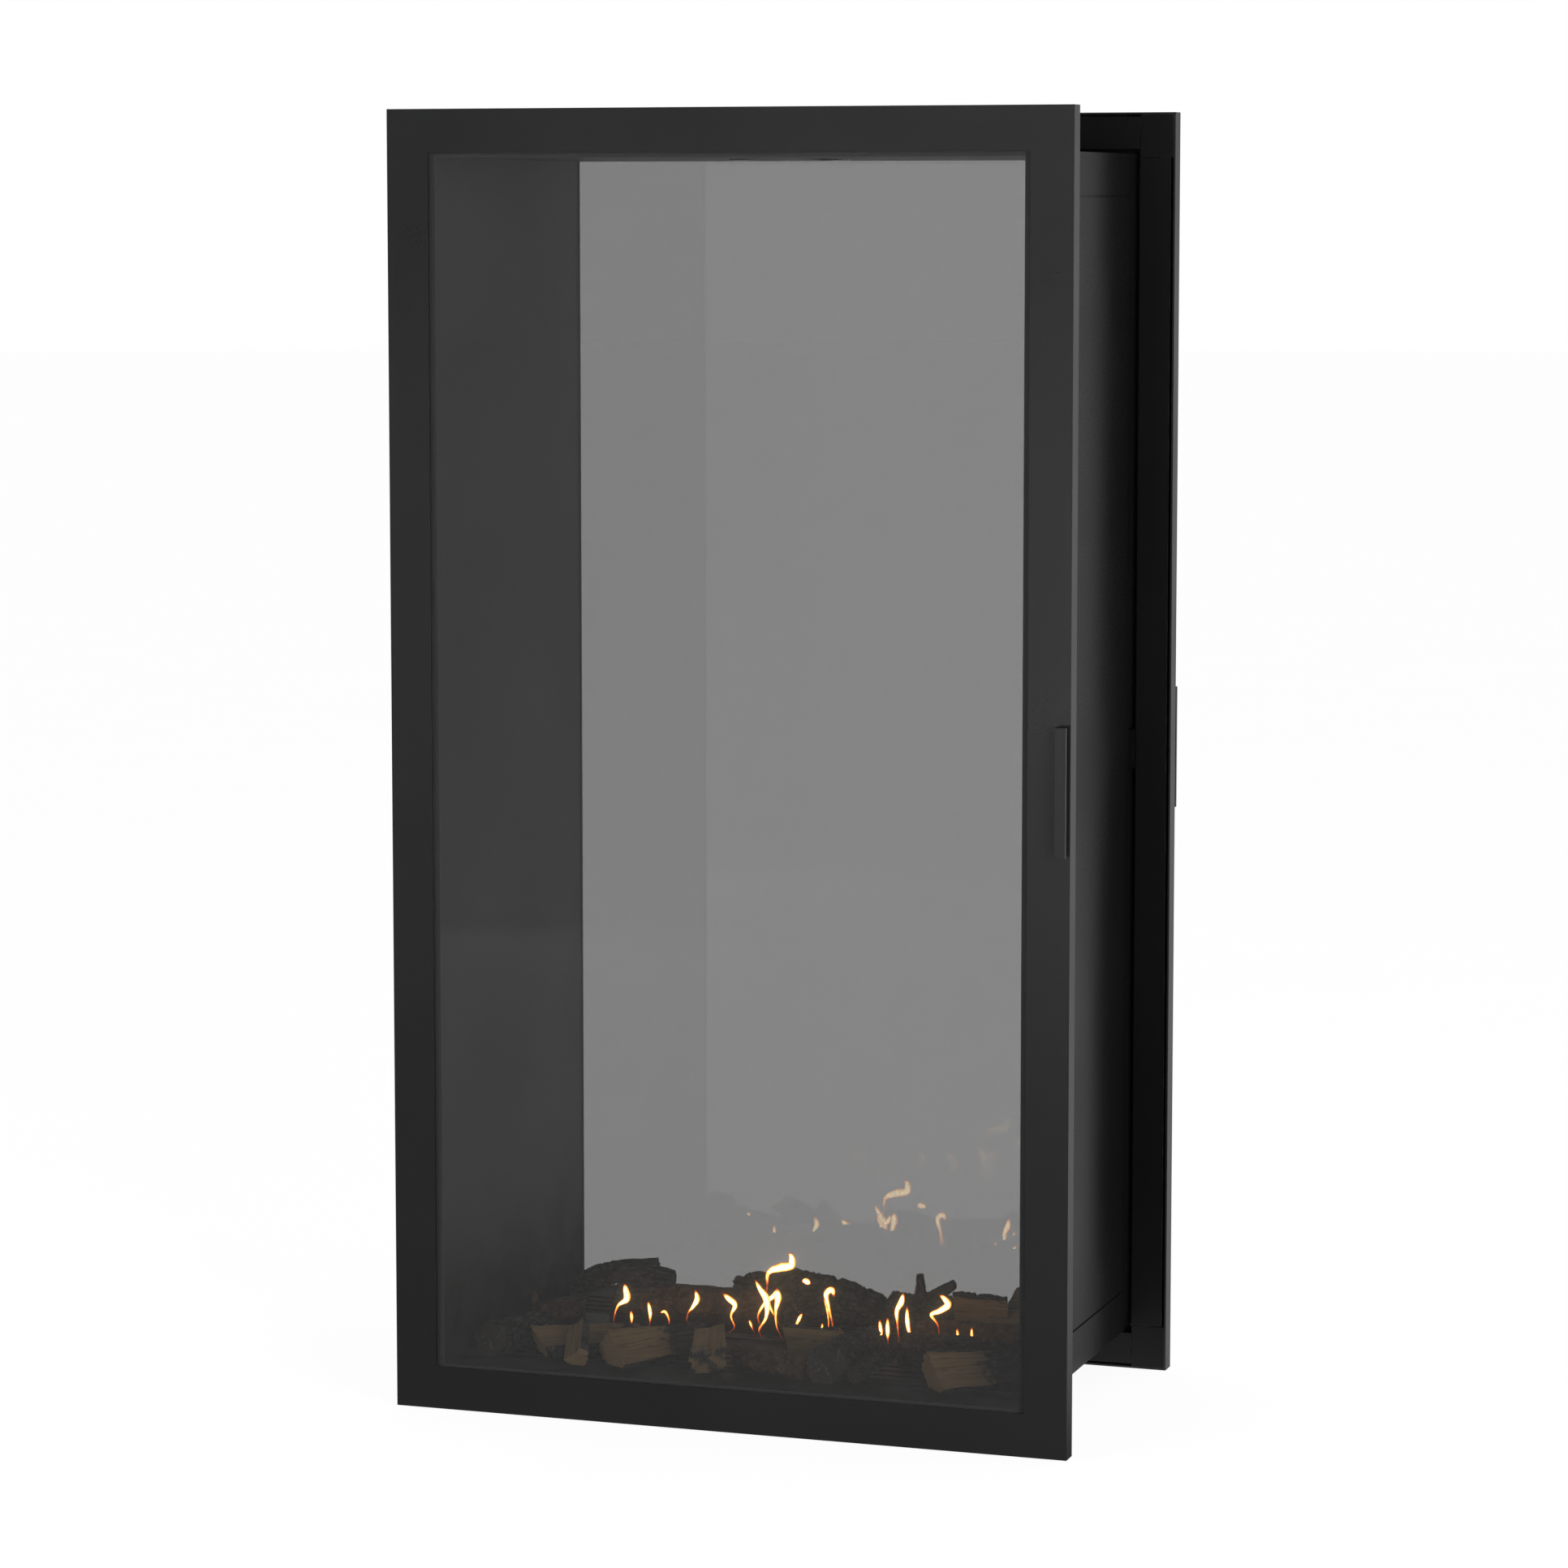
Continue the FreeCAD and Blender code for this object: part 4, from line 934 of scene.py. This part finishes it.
# %% Build the logs
for seed, (name, (kind, turn, char_ends, plate, stations)) in enumerate(LOGS.items()):
    depth = RELIEF[slot_of[name]]
    stacks = [log_stack(seed, kind, turn, char_ends, plate, stations, depth)]
    for stub_char, stub_stations in STUBS.get(name, []):
        stacks.append(log_stack(seed, "round", 0, stub_char, plate, stub_stations, depth))
    bedded = [(resting(rings), values) for rings, values in stacks]
    log = piece_from_rings(name + "_bark", bedded, finish[slot_of[name]])
    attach(log, "casing")
    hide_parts(name)
    print(log.name, len(log.data.polygons), "faces")

# %% [markdown]
# The flames are a row of thin licks above the slotted port bar. A volume would flicker best but renders
# slowly and can't be exported, so each lick is a closed tongue: a flat oval carried along a curled path,
# thin at both ends. Its heat is stored on the surface, pale in the middle and orange at the sides. The
# table draws each lick as a stroke from its foot to its tip.

# %% Flame strokes
# Each point of a stroke: place across, height above the frames' foot and half width, in millimetres
FLAMES = [
    [(-193, 49, 0.6), (-192, 58, 1.4), (-188, 70, 2.2), (-179, 77, 4.6), (-180, 86, 3.4), (-182, 93, 0.6)],
    [(-173, 49, 0.5), (-173, 58, 2.4), (-173, 66, 0.6)],
    [(-153, 49, 0.6), (-152, 62, 3.0), (-152, 70, 2.4), (-153, 78, 0.5)],
    [(-132, 49, 0.6), (-131, 60, 1.6), (-135, 68, 1.8), (-141, 66, 0.6)],
    [(-112, 49, 0.5), (-111, 66, 1.2), (-105, 75, 2.8), (-101, 83, 3.4), (-104, 92, 0.6)],
    [(-66, 50, 0.6), (-60, 57, 1.6), (-64, 68, 1.8), (-60, 79, 3.4), (-66, 85, 3.4), (-74, 91, 0.6)],
    [(-38, 52, 0.5), (-42, 60, 1.8), (-43, 66, 0.5)],
    [(-29, 48, 0.8), (-33, 56, 2.2), (-25, 70, 2.8), (-24, 88, 5.0), (-31, 100, 2.6), (-36, 109, 0.5)],
    [
        (-25, 86, 1.2), (-24, 104, 2.6), (-22, 117, 4.4), (-10, 123, 6.6),
        (2, 126, 5.2), (3, 134, 3.2), (-1, 139, 0.6),
    ],
    [(-30, 56, 0.6), (-34, 70, 2.0), (-27, 84, 2.6), (-18, 92, 3.0), (-14, 100, 0.6)],
    [(-10, 62, 0.5), (-18, 74, 1.8), (-26, 88, 2.6), (-32, 98, 0.6)],
    [(-8, 49, 0.6), (-14, 60, 1.4), (-15, 76, 2.2), (-12, 91, 4.2), (-13, 102, 0.6)],
    [(12, 109, 0.6), (18, 111, 4.6), (24, 109, 0.8)],
    [(6, 52, 0.5), (7, 62, 1.8), (11, 71, 2.2), (14, 77, 0.4)],
    [(34, 52, 0.6), (35, 60, 2.0), (34, 67, 0.5)],
    [(48, 52, 0.6), (46, 68, 1.7), (42, 84, 2.4), (39, 98, 3.8), (45, 103, 3.4), (48, 96, 0.6)],
    [(40, 52, 0.5), (42, 66, 1.0), (41, 82, 1.4), (38, 96, 0.6)],
    [(98, 52, 0.6), (99, 64, 2.8), (98, 77, 0.8)],
    [(106, 52, 0.6), (106, 64, 3.0), (105, 78, 0.8)],
    [(118, 52, 0.6), (116, 72, 2.2), (115, 86, 3.4), (119, 95, 3.6), (121, 105, 0.6)],
    [(136, 64, 0.6), (129, 64, 2.6), (126, 76, 3.0), (126, 92, 0.6)],
    [
        (161, 52, 0.6), (159, 74, 2.0), (152, 85, 3.4), (161, 90, 4.4),
        (170, 97, 4.4), (166, 104, 2.6), (161, 107, 0.6),
    ],
    [(181, 52, 0.5), (181, 64, 2.0), (180, 74, 0.5)],
    [(198, 49, 0.5), (197, 58, 2.2), (195, 66, 2.0), (194, 75, 0.5)],
]
print("flames:", len(FLAMES), "strokes")

# %% [markdown]
# A stroke becomes a tongue in two steps: a smooth curve through its points, and a flat oval carried along
# that curve. The tongue sways a little to front and back, because a row of flames that stands in one plane
# looks cut out of paper from the side.

# %% Flame surface
N_FLAME_AROUND = 24
N_FLAME_ALONG = 60
FLATNESS = 0.6
SLENDER, SWELLING = 0.30, 0.75
THINNEST = 0.0003
HEAT_RISE, HEAT_FALL, HEAT_FOCUS = 0.45, 0.12, 1.4
FULL_HEAT_WIDTH = 0.0019
SWAY = 0.004


def smooth_line(points, count):
    """A curve through the points: each stretch is a cubic led by the points before and after it."""
    padded = np.concatenate([2 * points[:1] - points[1:2], points, 2 * points[-1:] - points[-2:-1]])
    u = np.linspace(0, len(points) - 1, count)
    k = np.minimum(u.astype(int), len(points) - 2)
    f = (u - k)[:, None]
    before, here, there, after = (padded[k + step] for step in range(4))
    slope = there - before
    bend = 2 * before - 5 * here + 4 * there - after
    twist = 3 * (here - there) + after - before
    return here + 0.5 * f * (slope + f * (bend + f * twist))


def flame_stack(stroke, seed):
    """Curve plus a flat oval of the stroke's width, slim at the foot; hot in the middle of its length."""
    line = smooth_line(np.array(stroke, dtype=float) * MM, N_FLAME_ALONG)
    t = np.linspace(0, 1, N_FLAME_ALONG)
    sway = SWAY * np.sin(2.2 * t + 1.3 * seed) * t
    spine = np.stack([line[:, 0], sway, line[:, 1]], axis=-1)
    width = np.maximum(line[:, 2] * (SLENDER + SWELLING * t), THINNEST)
    forward = unit(np.gradient(spine, axis=0))
    across = unit(np.cross(forward, [0.0, 1.0, 0.0]))
    deep = np.cross(forward, across)
    turn = np.linspace(0, 2 * np.pi, N_FLAME_AROUND, endpoint=False)
    wide = (width[:, None] * np.cos(turn))[..., None] * across[:, None, :]
    thin = (width[:, None] * FLATNESS * np.sin(turn))[..., None] * deep[:, None, :]
    along = eased(t / HEAT_RISE) * eased((1 - t) / HEAT_FALL) * np.clip(width / FULL_HEAT_WIDTH, 0, 1)
    warmth = along[:, None] * np.abs(np.sin(turn))[None, :] ** HEAT_FOCUS
    return spine[:, None, :] + wide + thin, {"warmth": warmth}


tongues = [flame_stack(stroke, k) for k, stroke in enumerate(FLAMES)]
print("flames:", len(tongues), "tongues of", N_FLAME_ALONG, "rings")

# %% [markdown]
# A gas flame is light more than matter. Its colour runs from deep orange at the thin sides to nearly white
# where the eye looks through the most hot gas. So a colour ramp over the stored heat gives its light, and
# cool places are partly clear.

# %% Flame finish
FLAME_STRENGTH = 7.0
FLAME_STOPS = (
    (0.0, rgb(0.1, 0.01, 0.001)),
    (0.25, rgb(0.45, 0.07, 0.006)),
    (0.5, rgb(0.85, 0.3, 0.04)),
    (0.75, rgb(1.0, 0.6, 0.18)),
    (1.0, rgb(1.0, 0.82, 0.45)),
)


def flame_light():
    """Emission from deep orange through yellow to near white, by the stored heat."""
    material, tree, shader, _ = start_material("gas_flame")
    heat = attribute(tree, "warmth")
    place = object_place(tree)
    flicker = spread(tree, noise(tree, place, 160.0, 2.0), 0.3, 0.7, -0.12, 0.12)
    ramp = add(tree, "ShaderNodeValToRGB", {"Fac": sums(tree, "ADD", heat, flicker, True)})
    elements = ramp.color_ramp.elements
    while len(elements) < len(FLAME_STOPS):
        elements.new(0.5)
    for element, (spot, colour) in zip(elements, FLAME_STOPS):
        element.position = spot
        element.color = colour
    shader.inputs["Base Color"].default_value = rgb(0.0, 0.0, 0.0)
    shader.inputs["Roughness"].default_value = 1.0
    shader.inputs["Specular IOR Level"].default_value = 0.0
    shader.inputs["Emission Strength"].default_value = FLAME_STRENGTH
    link(tree, ramp.outputs["Color"], shader, "Emission Color")
    link(tree, spread(tree, heat, 0.0, 0.4, 0.3, 1.0), shader, "Alpha")
    return material


gas_flame = flame_light()

# %% [markdown]
# All tongues are one piece, because they come from one burner and never move apart. The piece rides on the
# casing. It has no solid in the CAD frame, so it replaces no node and takes no material slot.

# %% Build the flames
flames = piece_from_rings("gas_flames", tongues, gas_flame)
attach(flames, "casing")
print(flames.name, len(FLAMES), "licks", len(flames.data.polygons), "faces")

# %% [markdown]
# The studio is a white room with a dim side in front of the fireplace, so that the dark panes mirror
# little. One white room for all rays would be simpler, but every black coat would then look grey. So floor
# and backdrop are white only where they are seen, plainly or through the panes, and dim where they are
# mirrored. Rays that a pane turned back inside count in part. A bright spot on the floor in front, which
# only blurred mirrors see, gives the coated frames their sheen.

# %% Floor and room light
ROOM_DIM = rgb(0.11, 0.11, 0.11)
ROOM_BRIGHT = rgb(0.48, 0.48, 0.48)
WHITE = rgb(1.0, 1.0, 1.0)
TURNED_BACK = 0.4
TURNS_TO_FLOOR, TURNS_TO_WORLD = 3.0, 4.0
SHEEN = rgb(14.0, 14.0, 14.0)
SHEEN_SPOT = (0.3, -6.2, 0.0)
SHEEN_REACH = 2.2
FLOOR_DARK, FLOOR_LIGHT = rgb(0.2, 0.2, 0.2), rgb(0.22, 0.22, 0.22)
FLOOR_GLOW = 0.93
FLOOR_RADIUS = 40.0
FLOOR_DROP = 0.0012
FLOOR_SHEET = 0.02


def room_colour(tree, way):
    """Dim in front of the fireplace and bright behind it, by the way a ray goes."""
    depth = add(tree, "ShaderNodeSeparateXYZ", {0: way}).outputs["Y"]
    return mixed(tree, spread(tree, depth, -0.5, 0.8), ROOM_DIM, ROOM_BRIGHT)


def seen_plainly(tree, turns):
    """1 for rays straight from the camera or through a pane, less for those turned back inside a pane."""
    path = add(tree, "ShaderNodeLightPath")
    straight = sums(tree, "MAXIMUM", path.outputs["Is Camera Ray"], path.outputs["Is Transmission Ray"])
    values = {0: path.outputs["Ray Depth"], 1: turns, 2: 0.1}
    turned = add(tree, "ShaderNodeMath", values, operation="COMPARE").outputs[0]
    return sums(tree, "MULTIPLY", straight, spread(tree, turned, 0.0, 1.0, 1.0, TURNED_BACK))


def floor_finish():
    """Near white with soft shadows where it is seen, and the room's own light where it is mirrored."""
    material = bpy.data.materials.new("pale_floor")
    tree = empty_tree(material)
    place = object_place(tree)
    cloud = noise(tree, place, 3.0, 2.0)
    paint = mixed(tree, cloud, FLOOR_DARK, FLOOR_LIGHT)
    matt = add(tree, "ShaderNodeBsdfDiffuse", {"Color": paint})
    glow = add(tree, "ShaderNodeEmission", {"Color": WHITE, "Strength": FLOOR_GLOW})
    plain = add(tree, "ShaderNodeAddShader", {0: matt.outputs[0], 1: glow.outputs[0]})
    way = add(tree, "ShaderNodeVectorMath", {0: place}, operation="NORMALIZE").outputs["Vector"]
    values = {0: place, 1: SHEEN_SPOT}
    far = add(tree, "ShaderNodeVectorMath", values, operation="DISTANCE").outputs["Value"]
    blurred = sums(tree, "SUBTRACT", 1.0, add(tree, "ShaderNodeLightPath").outputs["Is Singular Ray"])
    sheen = sums(tree, "MULTIPLY", spread(tree, far, SHEEN_REACH, 0.0), blurred)
    room = mixed(tree, sheen, room_colour(tree, way), SHEEN)
    mirrored = add(tree, "ShaderNodeEmission", {"Color": room})
    seen = seen_plainly(tree, TURNS_TO_FLOOR)
    values = {0: seen, 1: mirrored.outputs[0], 2: plain.outputs[0]}
    look = add(tree, "ShaderNodeMixShader", values)
    add(tree, "ShaderNodeOutputMaterial", {"Surface": look.outputs[0]})
    return material


def pale_floor():
    """A wide disc just under the frames: one ring below, then rings that shrink to the middle."""
    reach = np.linspace(1.0, 0.0, 24)[:-1, None] ** 2 * FLOOR_RADIUS
    turn = np.linspace(0, 2 * np.pi, 64, endpoint=False)[None, :]
    level = np.full((len(reach), turn.shape[1]), -FLOOR_DROP)
    top = np.stack([reach * np.cos(turn), reach * np.sin(turn), level], axis=-1)
    under = top[:1] - [0.0, 0.0, FLOOR_SHEET]
    return piece_from_rings("studio_floor", [(np.concatenate([under, top]), {})], floor_finish())


floor = pale_floor()
print("floor:", len(floor.data.polygons), "faces")

# %% [markdown]
# The world is the white backdrop. Three soft lamps shape the fireplace: a broad one on the right for the
# casing's side and the frame's face, a weak one on the left, and a small low one that reaches the logs
# through the front pane. Mirrors and the camera don't see the lamps, or squares would shine in the panes.

# %% World and lamps
# name: place, target, side length in metres, watts
LAMPS = {
    "lamp_right": ((3.6, -3.4, 1.2), (0.0, 0.0, 0.55), 2.4, 102.0),
    "lamp_left": ((-3.0, -2.6, 1.6), (0.0, 0.0, 0.6), 2.0, 14.0),
    "lamp_low": ((-1.6, -3.2, 0.6), (0.0, 0.0, 0.2), 0.9, 19.0),
}


def studio_world():
    """White where the camera looks, plainly or through a pane; the room's light for all other rays."""
    world = bpy.data.worlds.new("studio")
    tree = empty_tree(world)
    room = room_colour(tree, add(tree, "ShaderNodeTexCoord").outputs["Generated"])
    colour = mixed(tree, seen_plainly(tree, TURNS_TO_WORLD), room, WHITE)
    back = add(tree, "ShaderNodeBackground", {"Color": colour})
    add(tree, "ShaderNodeOutputWorld", {"Surface": back.outputs[0]})
    return world


def soft_lamp(name, place, target, size, watts):
    """A square soft light: tipped by its angle from straight down, turned towards its target."""
    light = bpy.data.lights.new(name, "AREA")
    light.shape = "SQUARE"
    light.size = size
    light.energy = watts
    lamp = bpy.data.objects.new(name, light)
    bpy.context.scene.collection.objects.link(lamp)
    way_x, way_y, way_z = np.array(target) - np.array(place)
    tip = math.atan2(math.hypot(way_x, way_y), -way_z)
    turn = math.atan2(way_y, way_x) - math.pi / 2
    lamp.location = place
    lamp.rotation_euler = (tip, 0.0, turn)
    lamp.visible_camera = False
    lamp.visible_glossy = False
    lamp.visible_transmission = False
    return lamp


bpy.context.scene.world = studio_world()
lamps = [soft_lamp(name, *row) for name, row in LAMPS.items()]
print("studio: world and", len(lamps), "lamps")

# %% [markdown]
# The camera stands to the right of the front and near the height of the upper edge, and its place was
# worked out from the corners of both frames. It looks a little down and shifts the picture slightly, which
# keeps the uprights nearly parallel. The picture's white stays white with the plain view transform.

# %% Camera
SENSOR = 36.0
LENS = 112.21
SHIFT_DOWN = 0.04
CAMERA_PLACE = (1.5641, -4.6698, 1.2013)
LOOK_DOWN, LOOK_LEFT = 5.972, 18.59

camera_data = bpy.data.cameras.new("camera")
camera_data.sensor_width = SENSOR
camera_data.lens = LENS
camera_data.shift_y = -SHIFT_DOWN
camera = bpy.data.objects.new("camera", camera_data)
bpy.context.scene.collection.objects.link(camera)
camera.location = CAMERA_PLACE
camera.rotation_euler = (math.radians(90 - LOOK_DOWN), 0.0, math.radians(LOOK_LEFT))
bpy.context.scene.camera = camera
bpy.context.scene.view_settings.view_transform = "Standard"
print("camera:", tuple(camera.location))

# %% [markdown]
# A flame is far brighter than the room, so in a lens it has a soft halo. The halo could be a shell of
# dim light around each lick, but a lens makes it over the finished picture, and so does this step: what
# is brighter than the white backdrop spreads a little light around it.

# %% Glow of the flames
GLOW = {"Threshold": 1.25, "Strength": 0.30, "Size": 0.18}


def lens_glow():
    """Light from spots brighter than the backdrop, spread around them and added to the picture."""
    tree = empty_tree(bpy.context.scene)
    layers = add(tree, "CompositorNodeRLayers")
    values = {"Image": layers.outputs["Image"]} | GLOW
    glow = add(tree, "CompositorNodeGlare", values, glare_type="BLOOM")
    add(tree, "CompositorNodeComposite", {"Image": glow.outputs["Image"]})
    return glow


print("glow:", lens_glow().glare_type)
